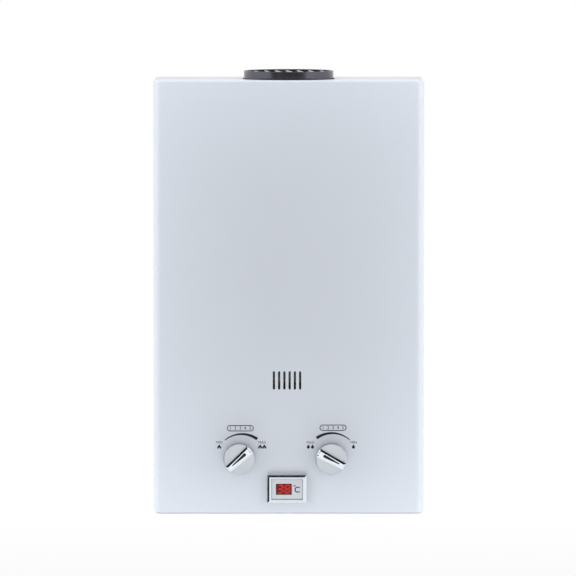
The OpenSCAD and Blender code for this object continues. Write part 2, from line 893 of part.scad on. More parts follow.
module back_plate() {
    depth = plate_sheet + 2 * cut;
    color("silver") difference() {
        intersection() {
            cover_form(cover_sheet + cover_gap, 0);
            plate_form();
        }
        for (s = [-1, 1]) {
            to_front(s * keyhole_pitch / 2, cut, keyhole_z) linear_extrude(height = depth) {
                circle(keyhole_d / 2);
                translate([-keyhole_slot_d / 2, 0]) square([keyhole_slot_d, keyhole_rise]);
                translate([0, keyhole_rise]) circle(keyhole_slot_d / 2);
            }
            to_front(s * wall_screw_pitch / 2, cut, wall_screw_z) cylinder(h = depth, r = wall_screw_d / 2);
            translate([s * cover_screw.x, cover_screw.y, plate_bottom - cut])
                cylinder(h = depth, r = screw_r + tap_play);
        }
    }
}

module cover_screws() {
    color("lightsteelblue") for (s = [-1, 1]) translate([s * cover_screw.x, cover_screw.y, 0]) screw();
}

module connection_shelf() {
    left = hot_x - shelf_margin;
    right = drain.x + shelf_margin;
    color("silver") difference() {
        union() {
            block([left, -shelf_d, shelf_z], [right, -plate_sheet, shelf_top]);
            block([left, -plate_sheet - shelf_sheet, shelf_z], [right, -plate_sheet, shelf_z + shelf_rear]);
            block([left, -shelf_d, shelf_z], [right, -shelf_d + shelf_sheet, shelf_z + shelf_front]);
        }
        for (x = [hot_x, gas_x, water_x]) translate([x, valve_y, shelf_z - cut])
            cylinder(h = shelf_sheet + 2 * cut, r = thread_r + hole_play);
        translate([drain.x, drain.y, shelf_z - cut])
            cylinder(h = shelf_sheet + 2 * cut, r = drain_d / 2 + drain_gap);
    }
}

// Tapered form of the hood between two heights, shrunk by the inset
module hood_form(inset, low, high) {
    grown = 2 * (seat + shell_sheet - inset);
    rim = 2 * (hood_rim - inset);
    hull() {
        translate([0, shell_y, low]) linear_extrude(height = slice)
            square([shell_w + grown, shell_d + grown], center = true);
        translate([0, flue_y, high - slice]) linear_extrude(height = slice)
            square([flange_w + rim, flange_d + rim], center = true);
    }
}

// Places of the collar's screws at the given height
module flue_corners(z) {
    for (sx = [-1, 1], sy = [-1, 1])
        translate([sx * flue_screw.x, flue_y + sy * flue_screw.y, z]) children();
}

module draft_hood() {
    skirt = shell_top - hood_overlap;
    in = [shell_w / 2 + seat, shell_d / 2 + seat];
    out = in + [shell_sheet, shell_sheet];
    draft_x = shell_w / 2 - draft_margin;
    color("lightgray") difference() {
        union() {
            hood_form(0, shell_top, hood_top);
            block([-out.x, shell_y - out.y, skirt], [out.x, shell_y + out.y, shell_top]);
        }
        hood_form(shell_sheet, shell_top, hood_top - shell_sheet);
        block([-in.x, shell_y - in.y, skirt - cut], [in.x, shell_y + in.y, shell_top + slice / 2]);
        translate([0, flue_y, hood_top - 3 * cut]) cylinder(h = 6 * cut, r = collar_bore);
        flue_corners(hood_top - 3 * cut) cylinder(h = 6 * cut, r = screw_r + tap_play);
        block([-draft_x, -case_d, shell_top + draft_z], [draft_x, shell_y, shell_top + draft_z + draft_h]);
    }
}

module flue_collar() {
    bead = case_h + bead_lift;
    color("dimgray") difference() {
        union() {
            translate([0, flue_y, hood_top]) linear_extrude(height = flange_t)
                rounded_rect(flange_w, flange_d, flange_r);
            translate([0, flue_y, 0]) rotate_extrude() polygon([[collar_bore, hood_top], [flue_r, hood_top],
                [flue_r, bead], [flue_r + bead_out, bead + bead_out / 2],
                [flue_r + bead_out, bead + bead_h - bead_out / 2], [flue_r, bead + bead_h],
                [flue_r, flue_top], [collar_in, flue_top], [collar_in, guard_z],
                [collar_bore, guard_z - collar_ledge]]);
        }
        translate([0, flue_y, hood_top - cut]) cylinder(h = flange_t + 2 * cut, r = collar_bore);
        flue_corners(hood_top - cut) cylinder(h = flange_t + 2 * cut, r = screw_r + screw_play);
    }
}

module flue_screws() {
    color("lightsteelblue") flue_corners(hood_top + flange_t) rotate([180, 0, 0]) screw();
}

module flue_guard() {
    color("dimgray") translate([0, flue_y, guard_z]) {
        linear_extrude(height = guard_h) difference() {
            circle(guard_r);
            circle(guard_r - guard_wall);
        }
        intersection() {
            rotate(guard_turn) row(guard_blades, guard_pitch) translate([0, 0, guard_h / 2])
                rotate([0, guard_lean, 0]) cube([guard_blade_t, 3 * guard_r, 3 * guard_h], center = true);
            cylinder(h = guard_h - blade_drop, r = guard_r - guard_wall / 2);
        }
    }
}

// Middle lines of the water tubes, each turned to run along +X from the given place
module tube_places(x) {
    for (i = [0 : tube_passes - 1]) to_right(x, tube_back - i * tube_pitch, tube_z) children();
}

module exchanger_shell() {
    low = shell_z + window_z;
    color("peru") difference() {
        translate([0, shell_y, shell_z]) linear_extrude(height = shell_h) difference() {
            rounded_rect(shell_w, shell_d, shell_r);
            rounded_rect(shell_w - 2 * shell_sheet, shell_d - 2 * shell_sheet, shell_r - shell_sheet);
        }
        tube_places(-shell_w) cylinder(h = 2 * shell_w, r = tube_r + seat);
        block([display_x - window_w / 2, -case_d, low], [display_x + window_w / 2, shell_y, low + window_h]);
    }
}

module exchanger_fins() {
    color("orange") difference() {
        row(fin_count, fin_pitch) translate([0, shell_y, tube_z])
            cube([fin_t, shell_d - 2 * shell_sheet - 2 * fin_gap, fin_h], center = true);
        tube_places(-shell_w / 2) cylinder(h = shell_w, r = tube_r + seat / 2);
    }
}

// Return bend from one water tube to the next
module return_bend(x, i, angle) {
    translate([x, tube_back - (i + 0.5) * tube_pitch, tube_z]) rotate(angle)
        rotate_extrude(angle = 180) translate([tube_pitch / 2, 0]) circle(tube_r);
}

module exchanger_tubes() {
    color("orange") {
        tube_places(-tube_end) cylinder(h = 2 * tube_end, r = tube_r);
        for (i = [0 : 2 : tube_passes - 2]) return_bend(tube_end, i, -90);
        for (i = [1 : 2 : tube_passes - 3]) return_bend(-tube_end, i, 90);
    }
}

// Wall bracket with a shelf to the given depth and a foot on the back plate
module wall_bracket(x, y, z, t) {
    w = bracket_w / 2;
    block([x - w, y, z], [x + w, -plate_sheet, z + t]);
    block([x - w, -plate_sheet - t, z], [x + w, -plate_sheet, z + bracket_h]);
}

module exchanger_brackets() {
    z = shell_top - bracket_drop;
    w = bracket_w / 2;
    color("silver") for (x = [-bracket_x, bracket_x]) {
        wall_bracket(x, tray_back, z, bracket_t);
        block([x - w, tray_back, z - bracket_h], [x + w, tray_back + bracket_t, z + bracket_t]);
    }
}

module inlet_coil() {
    low = shell_z + coil_low;
    high = low + coil_rise;
    color("orange") bent_pipe([[water_right + outlet_l, valve_y, outlet_z], [coil_riser, valve_y, outlet_z],
        [coil_riser, valve_y, low], [coil_riser, coil_front, low], [-coil_side, coil_front, low],
        [-coil_side, coil_back, low], [coil_side, coil_back, low], [coil_side, coil_back, high],
        [coil_side, coil_front, high], [-coil_out, coil_front, high], [-coil_out, tube_back, high],
        [-coil_out, tube_back, tube_z], [-tube_end, tube_back, tube_z]]);
}

module hot_pipe() {
    color("orange") bent_pipe([[-tube_end, tube_front, tube_z], [hot_x, tube_front, tube_z],
        [hot_x, tube_front, hot_turn], [hot_x, valve_y, hot_turn], [hot_x, valve_y, body_z]]);
}

module pipe_unions() {
    bore = tube_r + seat;
    back = tube_end + pipe_lead;
    exchanger_af = min(union_af, 2 * (tube_pitch - tube_r - nut_gap));
    color("darkgoldenrod") {
        to_right(water_right + outlet_l, valve_y, outlet_z) hex(union_af, union_l, bore);
        translate([hot_x, valve_y, body_z]) hex(union_af, union_l, bore);
        for (y = [tube_back, tube_front])
            to_right(-back, y, tube_z) hex(exchanger_af, back - shell_w / 2 - union_gap, bore);
    }
}

module overheat_sensor() {
    head = tube_front - sensor_out;
    tab = sensor_head_h / 2;
    color("lightgray") difference() {
        union() {
            translate([hot_x, tube_front, sensor_z - clip_h / 2])
                cylinder(h = clip_h, r = tube_r + clip_wall);
            to_front(hot_x, tube_front, sensor_z) cylinder(h = sensor_out, r = sensor_neck_d / 2);
            to_front(hot_x, head, sensor_z) cylinder(h = sensor_head_h, r = sensor_head_d / 2);
            block([hot_x - sensor_tab, head - 2 * tab, sensor_z - tab], [hot_x, head, sensor_z + tab]);
        }
        translate([hot_x, tube_front, sensor_z - clip_h]) cylinder(h = 2 * clip_h, r = tube_r + tap_play);
    }
}

module sight_glass() {
    w = window_w / 2 + glass_margin;
    low = shell_z + window_z - glass_margin;
    color("lightyellow") block([display_x - w, tray_front - glass_t, low],
        [display_x + w, tray_front, low + window_h + 2 * glass_margin]);
}

module burner_tray() {
    w = shell_w / 2;
    t = tray_sheet;
    color("lightgray") difference() {
        union() {
            difference() {
                block([-w, tray_front, tray_z], [w, tray_back, shell_z]);
                block([-w + t, tray_front + t, tray_z - cut], [w - t, tray_back - t, shell_z + cut]);
            }
            block([-w, tray_front, bar_z - t], [w, tray_front + tray_ledge, bar_z]);
            block([-w, tray_back - tray_ledge, bar_z - t], [w, tray_back, bar_z]);
            for (x = [-bracket_x, bracket_x]) wall_bracket(x, tray_back - t, tray_z + tray_bracket_z, t);
        }
        row(bar_count, bar_pitch) to_front(0, tray_front + t + cut, burner_z)
            cylinder(h = t + 2 * cut, r = injector_d / 2 + injector_gap);
        for (x = [-electrode_x, electrode_x]) to_front(x, tray_front + t + cut, electrode_z)
            cylinder(h = t + 2 * cut, r = electrode_r + electrode_play);
    }
}

// Section of one burner bar
module bar_section() {
    translate([0, bar_duct / 2]) rounded_rect(bar_w, bar_duct, bar_r);
    translate([-bar_neck / 2, bar_duct / 2]) square([bar_neck, bar_h - bar_duct / 2 - bar_head / 2]);
    translate([0, bar_h - bar_head / 2]) rounded_rect(bar_w, bar_head, bar_head_r);
}

module burner_bars() {
    color("slategray") row(bar_count, bar_pitch) translate([0, shell_y, bar_z]) difference() {
        translate([0, bar_l / 2, 0]) rotate([90, 0, 0]) linear_extrude(height = bar_l) bar_section();
        to_front(0, -bar_l / 2 + venturi_l, bar_duct / 2) cylinder(h = venturi_l + cut, r = venturi_d / 2);
        rotate(90) row(port_count, (bar_l - bar_head) / port_count) translate([0, 0, bar_h])
            cube([port_w, bar_w - 2 * port_margin, 2 * port_depth], center = true);
    }
}

module gas_manifold() {
    l = shell_w / 2 - manifold_end;
    front = manifold_back - manifold_t;
    top = manifold_z + manifold_h;
    color("darkgray") difference() {
        union() {
            block([-l, front, manifold_z], [l, manifold_back, top]);
            for (x = [-l, l - manifold_foot])
                block([x, front, manifold_z], [x + manifold_foot, tray_front, top]);
        }
        row(bar_count, bar_pitch) to_front(0, manifold_back + cut, burner_z)
            cylinder(h = injector_thread_l + 2 * cut, r = injector_thread / 2 + tap_play);
    }
}

module gas_injectors() {
    l = injector_head + injector_thread_l;
    color("darkgoldenrod") row(bar_count, bar_pitch) to_front(0, manifold_back + injector_head, burner_z)
        difference() {
            union() {
                cylinder(h = l, r = injector_thread / 2);
                cylinder(h = injector_head, r = injector_d / 2);
            }
            translate([0, 0, -cut]) cylinder(h = l + 2 * cut, r = injector_bore / 2);
        }
}

// Ceramic electrode through the tray's front wall with the given tip length
module electrode(x, tip) {
    to_front(x, tray_front + electrode_in, electrode_z) {
        cylinder(h = electrode_l, r = electrode_r);
        translate([0, 0, electrode_in]) cylinder(h = electrode_collar_t, r = electrode_r + electrode_collar);
        translate([0, 0, -tip]) cylinder(h = tip, r = electrode_wire / 2);
    }
}

module spark_electrode() {
    color("white") electrode(-electrode_x, spark_tip);
}

module flame_sensor() {
    color("white") electrode(electrode_x, flame_tip);
}

module ignition_module() {
    color("darkslategray") {
        to_front((module_left + module_right) / 2, -plate_sheet, module_z + module_h / 2)
            linear_extrude(height = module_d) rounded_rect(module_w, module_h, module_r);
        to_front(terminal_x[0], module_front, electrode_z) cylinder(h = terminal_l, r = terminal_d / 2);
        to_front(terminal_x[1], module_front, lead_low) cylinder(h = terminal_l, r = terminal_d / 2);
    }
}

module ignition_leads() {
    spark_y = lead_end - 5 * lead_bend;
    flame_y = lead_end - 3 * lead_bend;
    color("firebrick") {
        lead([[-electrode_x, electrode_end, electrode_z], [-electrode_x, lead_front, electrode_z],
            [lead_side[0], lead_front, electrode_z], [lead_side[0], spark_y, electrode_z],
            [terminal_x[0], spark_y, electrode_z], [terminal_x[0], lead_end, electrode_z]]);
        lead([[electrode_x, electrode_end, electrode_z], [electrode_x, lead_front - lead_r, electrode_z],
            [electrode_x, lead_front - lead_r, lead_low], [lead_side[1], lead_front - lead_r, lead_low],
            [lead_side[1], flame_y, lead_low], [terminal_x[1], flame_y, lead_low],
            [terminal_x[1], lead_end, lead_low]]);
    }
}

module control_leads() {
    shelf = shelf_z + shelf_front + 2 * lead_d;
    battery = knob_z - 2 * lead_d;
    above = module_z + module_h + 2 * terminal_d;
    coil = coil_side - tube_r;
    sensor = [hot_x - sensor_tab, tube_front - sensor_out - lead_r, sensor_z];
    solenoid_x = gas_left - solenoid_l / 2;
    switch = [gas_right + switch_l / 2, valve_y + switch_w / 2, switch_z + switch_h / 2];
    color("dimgray") {
        lead([[display_x, inner_front + housing_d, shelf], [display_x, control_y[0], shelf],
            [control_x[0], control_y[0], shelf], [control_x[0], control_y[0], module_z]]);
        lead([[box_x - box_half, valve_y / 2, battery], [coil, valve_y / 2, battery],
            [coil, control_y[1], battery], [control_x[1], control_y[1], battery],
            [control_x[1], control_y[1], module_z]]);
        lead([[solenoid_x, valve_y + solenoid_d / 2, solenoid_z], [solenoid_x, control_y[2], solenoid_z],
            [control_x[2], control_y[2], solenoid_z], [control_x[2], control_y[2], module_z]]);
        lead([switch, [switch.x, control_y[3], switch.z], [control_x[3], control_y[3], switch.z],
            [control_x[3], control_y[3], module_z]]);
        lead([sensor, [control_x[4], sensor.y, sensor.z], [control_x[4], sensor.y, above],
            [control_x[4], control_y[0], above], [control_x[4], control_y[0], module_z + module_h]]);
    }
}

module gas_valve_body() {
    w = riser_w / 2;
    front = manifold_back - manifold_t;
    color("lightslategray") difference() {
        union() {
            translate([gas_x, valve_y, body_z]) linear_extrude(height = body_h)
                rounded_rect(gas_body_w, body_d, body_r);
            block([gas_x - w, front, knob_z + boss_d / 2 + body_r / 2],
                [gas_x + w, body_front + body_r, body_top]);
            block([gas_x - w, front, body_top - cut], [gas_x + w, manifold_back, manifold_z]);
            to_front(gas_x, body_front + cut, knob_z) cylinder(h = boss_l + cut, r = boss_d / 2);
        }
        to_front(gas_x, spindle_back + end_room, knob_z) cylinder(h = case_d, r = spindle_bore);
        to_right(rod_tip - rod_travel - rod_room, valve_y, knob_z) cylinder(h = gas_body_w, r = rod_bore);
        translate([gas_x, valve_y, body_z - cut]) cylinder(h = port_l + cut, r = bore_r);
        translate([gas_x, front + manifold_t / 2, manifold_z - port_l])
            cylinder(h = port_l + cut, r = riser_bore / 2);
    }
}

module gas_solenoid() {
    color("black") to_right(gas_left - solenoid_l, valve_y, solenoid_z) {
        cylinder(h = solenoid_l, r = solenoid_d / 2);
        translate([0, 0, -solenoid_cap_l]) cylinder(h = solenoid_cap_l, r = solenoid_cap_d / 2);
    }
}

// Threaded pipe nipple held in the shelf, its neck reaching up to the bodies
module nipple(x) {
    groove = thread_r - thread_chamfer;
    translate([x, valve_y, 0]) difference() {
        union() {
            rotate_extrude() polygon([[0, nipple_z], [groove, nipple_z],
                [thread_r, nipple_z + thread_chamfer], [thread_r, relief_z], [groove, relief_z],
                [groove, relief_z + relief_w], [thread_r, relief_z + relief_w], [thread_r, body_z],
                [0, body_z]]);
            translate([0, 0, shelf_top]) hex(nut_af, collar_h);
        }
        translate([0, 0, nipple_z - cut]) cylinder(h = body_z - nipple_z + 2 * cut, r = bore_r);
    }
}

module gas_inlet_nipple() {
    color("goldenrod") nipple(gas_x);
}

module cold_inlet_nipple() {
    color("goldenrod") nipple(water_x);
}

module hot_outlet_nipple() {
    color("goldenrod") nipple(hot_x);
}

module lock_nuts() {
    color("darkgoldenrod") for (x = [hot_x, gas_x, water_x]) translate([x, valve_y, shelf_z - nut_h])
        hex(nut_af, nut_h, thread_r + nut_play);
}

// Spindle from a valve body to its knob, with a flat at its tip
module spindle(x) {
    to_front(x, spindle_back, knob_z) difference() {
        cylinder(h = spindle_l, r = spindle_r);
        translate([spindle_r / 2, -spindle_r - cut, spindle_l - spindle_in + 2 * cut])
            cube([spindle_r, spindle_d + 2 * cut, spindle_in]);
    }
}

module gas_spindle() {
    color("khaki") spindle(gas_x);
}

module water_spindle() {
    color("khaki") spindle(water_x);
}

module spindle_glands() {
    color("darkgoldenrod") for (x = [gas_x, water_x]) to_front(x, body_front - boss_l, knob_z)
        hex(gland_af, gland_l, spindle_bore);
}

module push_rod() {
    color("khaki") {
        to_right(rod_tip, valve_y, knob_z) cylinder(h = rod_end - rod_tip, r = rod_r);
        to_right(rod_end - plate_t, valve_y, knob_z) cylinder(h = plate_t, r = chamber_r - plate_gap);
        to_right(flag_x, valve_y, knob_z) cylinder(h = flag_t, r = flag_d / 2);
    }
}

// Point of the spring's middle line
function coil_point(t) = [spring_start + (spring_end - spring_start) * t / spring_curls,
    valve_y + spring_d / 2 * cos(360 * t), knob_z + spring_d / 2 * sin(360 * t)];

// Point at angle a round the spring's wire
function wire_point(t, a) = coil_point(t)
    + spring_wire / 2 * (cos(a) * [1, 0, 0] + sin(a) * [0, cos(360 * t), sin(360 * t)]);

module return_spring() {
    rings = spring_curls * spring_rings;
    s = spring_sides;
    points = [for (i = [0 : rings], k = [0 : s - 1]) wire_point(i / spring_rings, 360 * k / s)];
    sides = [for (i = [0 : rings - 1], k = [0 : s - 1])
        [i * s + k, (i + 1) * s + k, (i + 1) * s + (k + 1) % s, i * s + (k + 1) % s]];
    ends = [[for (k = [0 : s - 1]) k], [for (k = [s - 1 : -1 : 0]) rings * s + k]];
    echo(least_gap = (spring_end - spring_start) / spring_curls - spring_wire);
    color("gray") polyhedron(points, concat(sides, ends), convexity = 10);
}

module valve_tie_bars() {
    color("silver") for (s = [-1, 1]) to_right(gas_right, valve_y + s * tie_y, knob_z)
        cylinder(h = lid_x - gas_right, r = tie_d / 2);
}

module microswitch() {
    w = switch_w / 2;
    color("black") {
        difference() {
            union() {
                block([gas_right, valve_y - w, switch_z],
                    [gas_right + switch_l, valve_y + w, switch_z + switch_h]);
                for (y = [valve_y - w, valve_y + w - ear_t])
                    block([lever_pin.x - ear_t, y, lever_pin.y - ear_t],
                        [lever_pin.x + ear_t, y + ear_t, switch_z + cut]);
            }
            to_front(lever_pin.x, valve_y + switch_w, lever_pin.y)
                cylinder(h = 2 * switch_w, r = lever_pin_d / 2 + tap_play);
        }
        translate([gas_right + switch_w, valve_y, switch_z - button_h])
            cylinder(h = 2 * button_h, r = button_d / 2);
    }
}

module switch_lever() {
    color("silver") {
        block([lever_pin.x, valve_y - lever_w / 2, lever_pin.y - lever_t / 2],
            [lever_pin.x + lever_l, valve_y + lever_w / 2, lever_pin.y + lever_t / 2]);
        to_front(lever_pin.x, valve_y + lever_pin_l / 2, lever_pin.y)
            cylinder(h = lever_pin_l, r = lever_pin_d / 2);
    }
}

// Ring of places for the diaphragm screws
module screw_ring(x) {
    for (i = [0 : valve_screw_count - 1]) to_right(x, valve_y, knob_z)
        rotate(360 / valve_screw_count * i) translate([valve_screw_ring, 0, 0]) children();
}

module diaphragm_cover() {
    color("goldenrod") difference() {
        union() {
            to_right(lid_x, valve_y, knob_z) cylinder(h = diaphragm_lid, r = diaphragm_r);
            to_right(lid_x - rod_boss_l, valve_y, knob_z) cylinder(h = rod_boss_l, r = rod_boss_d / 2);
        }
        to_right(diaphragm_x - chamber_h, valve_y, knob_z) cylinder(h = chamber_h + cut, r = chamber_r);
        to_right(lid_x - rod_boss_l - cut, valve_y, knob_z)
            cylinder(h = rod_boss_l + diaphragm_lid + cut, r = rod_bore);
        screw_ring(lid_x - cut) cylinder(h = diaphragm_lid + 2 * cut, r = valve_screw_r + screw_play);
    }
}

module diaphragm() {
    color("dimgray") difference() {
        to_right(diaphragm_x, valve_y, knob_z) cylinder(h = diaphragm_t, r = diaphragm_r);
        screw_ring(diaphragm_x - cut) cylinder(h = diaphragm_t + 2 * cut, r = valve_screw_r + screw_play);
    }
}

module valve_screws() {
    color("silver") screw_ring(lid_x) {
        translate([0, 0, -valve_head_h]) cylinder(h = valve_head_h, r = valve_head_d / 2);
        cylinder(h = water_left - lid_x - 2 * tip_room, r = valve_screw_r);
    }
}

module water_valve_body() {
    middle = (water_left + water_right) / 2;
    color("goldenrod") difference() {
        union() {
            to_right(water_disc_x, valve_y, knob_z) cylinder(h = water_disc_t, r = diaphragm_r);
            block([water_left, body_front, body_z], [middle, body_front + body_d, body_top]);
            translate([middle, valve_y, body_z]) linear_extrude(height = body_h)
                rounded_rect(water_body_w, body_d, body_r);
            to_front(water_x, body_front + cut, knob_z) cylinder(h = boss_l + cut, r = boss_d / 2);
            to_right(water_right, valve_y, outlet_z) cylinder(h = outlet_l, r = outlet_d / 2);
            translate([drain.x, drain.y, drain_z]) cylinder(h = drain_drop, r = outlet_d / 2);
        }
        to_right(water_disc_x - cut, valve_y, knob_z) cylinder(h = chamber_h + cut, r = chamber_r);
        to_front(water_x, spindle_back + end_room, knob_z) cylinder(h = case_d, r = spindle_bore);
        translate([water_x, valve_y, body_z - cut]) cylinder(h = port_l + cut, r = bore_r);
        to_right(water_right - port_l, valve_y, outlet_z)
            cylinder(h = port_l + outlet_l + cut, r = tube_r - tube_wall);
        translate([drain.x, drain.y, drain_z - cut])
            cylinder(h = drain_stem_l + 2 * cut, r = drain_stem_d / 2 + tap_play);
        screw_ring(water_disc_x - cut)
            cylinder(h = water_disc_t + cut - tip_room, r = valve_screw_r + tap_play);
    }
}

module drain_plug() {
    color("black") translate([drain.x, drain.y, 0]) difference() {
        union() {
            translate([0, 0, drain_top]) cylinder(h = drain_stem_l, r = drain_stem_d / 2);
            translate([0, 0, drain_low]) cylinder(h = drain_top - drain_low, r = drain_d / 2);
        }
        for (s = [-1, 1]) translate([s * drain_d / 2, 0, drain_low])
            cube([drain_d / 2, drain_d, 2 * wing_h], center = true);
    }
}

// Turned body of a knob with a soft front edge
module knob_disc() {
    r = knob_d / 2;
    rotate_extrude() {
        square([r - knob_foot_in, knob_foot_h]);
        translate([0, knob_foot_h]) square([r, knob_disc_h - knob_foot_h - knob_edge_r]);
        translate([0, knob_disc_h - knob_edge_r]) square([r - knob_edge_r, knob_edge_r]);
        translate([r - knob_edge_r, knob_disc_h - knob_edge_r]) circle(knob_edge_r);
    }
}

// Section of the grip, drafted and bevelled
module grip_section(w) {
    foot = w / 2;
    side = foot - grip_draft;
    top = side - grip_bevel;
    shoulder = knob_h - grip_slope;
    polygon([[-foot, 0], [foot, 0], [foot, knob_disc_h], [side, shoulder], [top, knob_h], [-top, knob_h],
        [-side, shoulder], [-foot, knob_disc_h]]);
}

// Bar across a knob, wide at its pointing end and narrow at its tail
module knob_grip() {
    r = knob_d / 2;
    e = grip_end_r;
    intersection() {
        hull() {
            translate([0, r, 0]) rotate([90, 0, 0]) linear_extrude(height = slice) grip_section(grip_wide);
            translate([0, slice - r, 0]) rotate([90, 0, 0]) linear_extrude(height = slice)
                grip_section(grip_narrow);
        }
        rotate_extrude() {
            square([r - e, knob_h]);
            square([r, knob_h - e]);
            translate([r - e, knob_h - e]) circle(e);
        }
    }
}

// Drop shape of the pointer inlay, grown all round by the play
module pointer_shape(play) {
    wide = pointer_wide + play;
    narrow = pointer_narrow + play;
    high = pointer_reach - pointer_wide;
    low = -pointer_reach + pointer_narrow;
    translate([0, high]) circle(wide);
    translate([0, low]) circle(narrow);
    polygon([[-narrow, low], [narrow, low], [wide, high], [-wide, high]]);
}

// Knob on its spindle with the pointer turned to the given angle
module knob(x, angle) {
    to_front(x, knob_back, knob_z) difference() {
        union() {
            knob_disc();
            rotate(angle) knob_grip();
        }
        translate([0, 0, -cut]) cylinder(h = spindle_in + end_room + cut, r = spindle_bore);
        rotate(angle) translate([0, 0, knob_h - pointer_t]) linear_extrude(height = pointer_t + cut)
            pointer_shape(pointer_play);
    }
}

// Pointer inlay in the top of a knob's grip
module pointer(x, angle) {
    to_front(x, knob_back, knob_z) rotate(angle) translate([0, 0, knob_h - pointer_t])
        linear_extrude(height = pointer_t) pointer_shape(0);
}

module temperature_knob() {
    color("lightgray") knob(gas_x, -gas_angle);
}

module temperature_pointer() {
    color("black") pointer(gas_x, -gas_angle);
}

module water_knob() {
    color("lightgray") knob(water_x, water_angle);
}

module water_pointer() {
    color("black") pointer(water_x, water_angle);
}

module battery_box() {
    w = box_half;
    roof = box_roof + box_wall;
    color("dimgray") difference() {
        union() {
            block([box_x - w, box_front, box_z], [box_x + w, box_back, roof]);
            block([box_x - w, box_back, box_roof], [box_x + w, -plate_sheet, roof]);
            block([box_x - w, -plate_sheet - box_wall, box_roof], [box_x + w, -plate_sheet, roof + box_foot]);
            for (x = [box_x - w, box_x + w - box_knuckle]) {
                to_right(x, hinge_y, hinge_z) cylinder(h = box_knuckle, r = knuckle_r);
                block([x, box_back - box_wall, box_z], [x + box_knuckle, hinge_y, hinge_z + knuckle_r]);
            }
        }
        block([box_x - box_in_w / 2, box_y - box_in_d / 2, box_z - cut],
            [box_x + box_in_w / 2, box_y + box_in_d / 2, box_roof]);
        to_right(box_x - 2 * w, hinge_y, hinge_z) cylinder(h = 4 * w, r = pin_d / 2 + tap_play / 2);
    }
}

module battery_lid() {
    w = box_half - lid_side;
    top = lid_z + lid_t;
    color("dimgray") difference() {
        union() {
            block([box_x - w, box_front, lid_z], [box_x + w, box_back, top]);
            block([box_x - finger_w / 2, box_front - finger_l, lid_z],
                [box_x + finger_w / 2, box_front, top]);
            block([box_x - knuckle_l / 2, box_back - cut, lid_z], [box_x + knuckle_l / 2, hinge_y, top]);
            to_right(box_x - knuckle_l / 2, hinge_y, hinge_z) cylinder(h = knuckle_l, r = knuckle_r);
        }
        to_right(box_x - knuckle_l, hinge_y, hinge_z) cylinder(h = 2 * knuckle_l, r = pin_d / 2 + pin_play);
    }
}

module lid_hinge_pin() {
    color("silver") to_right(box_x - box_half, hinge_y, hinge_z) cylinder(h = 2 * box_half, r = pin_d / 2);
}

// Battery cell with its cap up, or down if it is turned over
module cell(turned) {
    translate([0, 0, turned ? cell_cap_h : 0]) cylinder(h = cell_l - cell_cap_h, r = cell_d / 2);
    translate([0, 0, turned ? 0 : cell_l - cell_cap_h]) cylinder(h = cell_cap_h, r = cell_cap_d / 2);
}

module battery_cells() {
    color("seagreen") for (s = [-1, 1]) translate([box_x, box_y + s * cell_y, cell_z]) cell(s > 0);
}

module battery_contacts() {
    color("silver") for (s = [-1, 1]) translate([box_x, box_y + s * cell_y, cell_z + cell_l])
        cylinder(h = contact_h, r1 = contact_tip / 2, r2 = contact_foot / 2);
}

// Bevelled outline of one side of the bezel, its foot on the x axis
module bevelled(w) {
    rim = bezel_out - bezel_slope;
    polygon([[-w / 2, 0], [w / 2, 0], [w / 2, rim], [w / 2 - bezel_bevel, bezel_out],
        [-w / 2 + bezel_bevel, bezel_out], [-w / 2, rim]]);
}

// Box round the middle of the display between two depths
module display_block(w, h, front, back) {
    block([display_x - w / 2, front, display_z - h / 2], [display_x + w / 2, back, display_z + h / 2]);
}

module display_bezel() {
    color("lightgray") difference() {
        union() {
            intersection() {
                translate([display_x, -case_d, display_z - bezel_h / 2])
                    linear_extrude(height = bezel_h) rotate(180) bevelled(bezel_w);
                translate([display_x - bezel_w / 2, -case_d, display_z]) rotate([90, 0, 90])
                    linear_extrude(height = bezel_w) rotate(90) bevelled(bezel_h);
            }
            display_block(barrel_w, barrel_h, -case_d - cut, barrel_back);
        }
        display_block(face_w, face_h, bezel_front - cut, face_front + face_t);
        display_block(face_w - 2 * ledge_w, face_h - 2 * ledge_w, bezel_front, barrel_back + cut);
    }
}

module display_panel() {
    color("slategray") difference() {
        display_block(face_w - 2 * lens_gap, face_h - 2 * lens_gap, face_front, face_front + face_t);
        translate([lens_x, 0, 0]) display_block(lens_w, lens_h, face_front - cut, face_front + face_t + cut);
    }
}

module display_lens() {
    play = 2 * lens_gap;
    color("darkred") translate([lens_x, 0, 0])
        display_block(lens_w - play, lens_h - play, face_front + lens_step, face_front + face_t);
}

module display_board() {
    digits = 2 * digit_margin;
    color("darkgreen") {
        display_block(barrel_w - 2 * board_gap, barrel_h - 2 * board_gap, barrel_back, barrel_back + board_t);
        translate([lens_x, 0, 0])
            display_block(lens_w + digits, lens_h + digits, face_front + face_t, barrel_back);
    }
}

module display_housing() {
    w = barrel_w + 2 * seat;
    h = barrel_h + 2 * seat;
    back = inner_front + housing_d;
    floor_y = back - housing_wall;
    color("dimgray") {
        difference() {
            display_block(w + 2 * housing_wall, h + 2 * housing_wall, inner_front, back);
            display_block(w, h, inner_front - cut, floor_y);
        }
        for (sx = [-1, 1], sy = [-1, 1])
            to_front(display_x + sx * (w / 2 - post_inset), floor_y, display_z + sy * (h / 2 - post_inset))
                cylinder(h = floor_y - barrel_back - board_t, r = post_d / 2);
    }
}

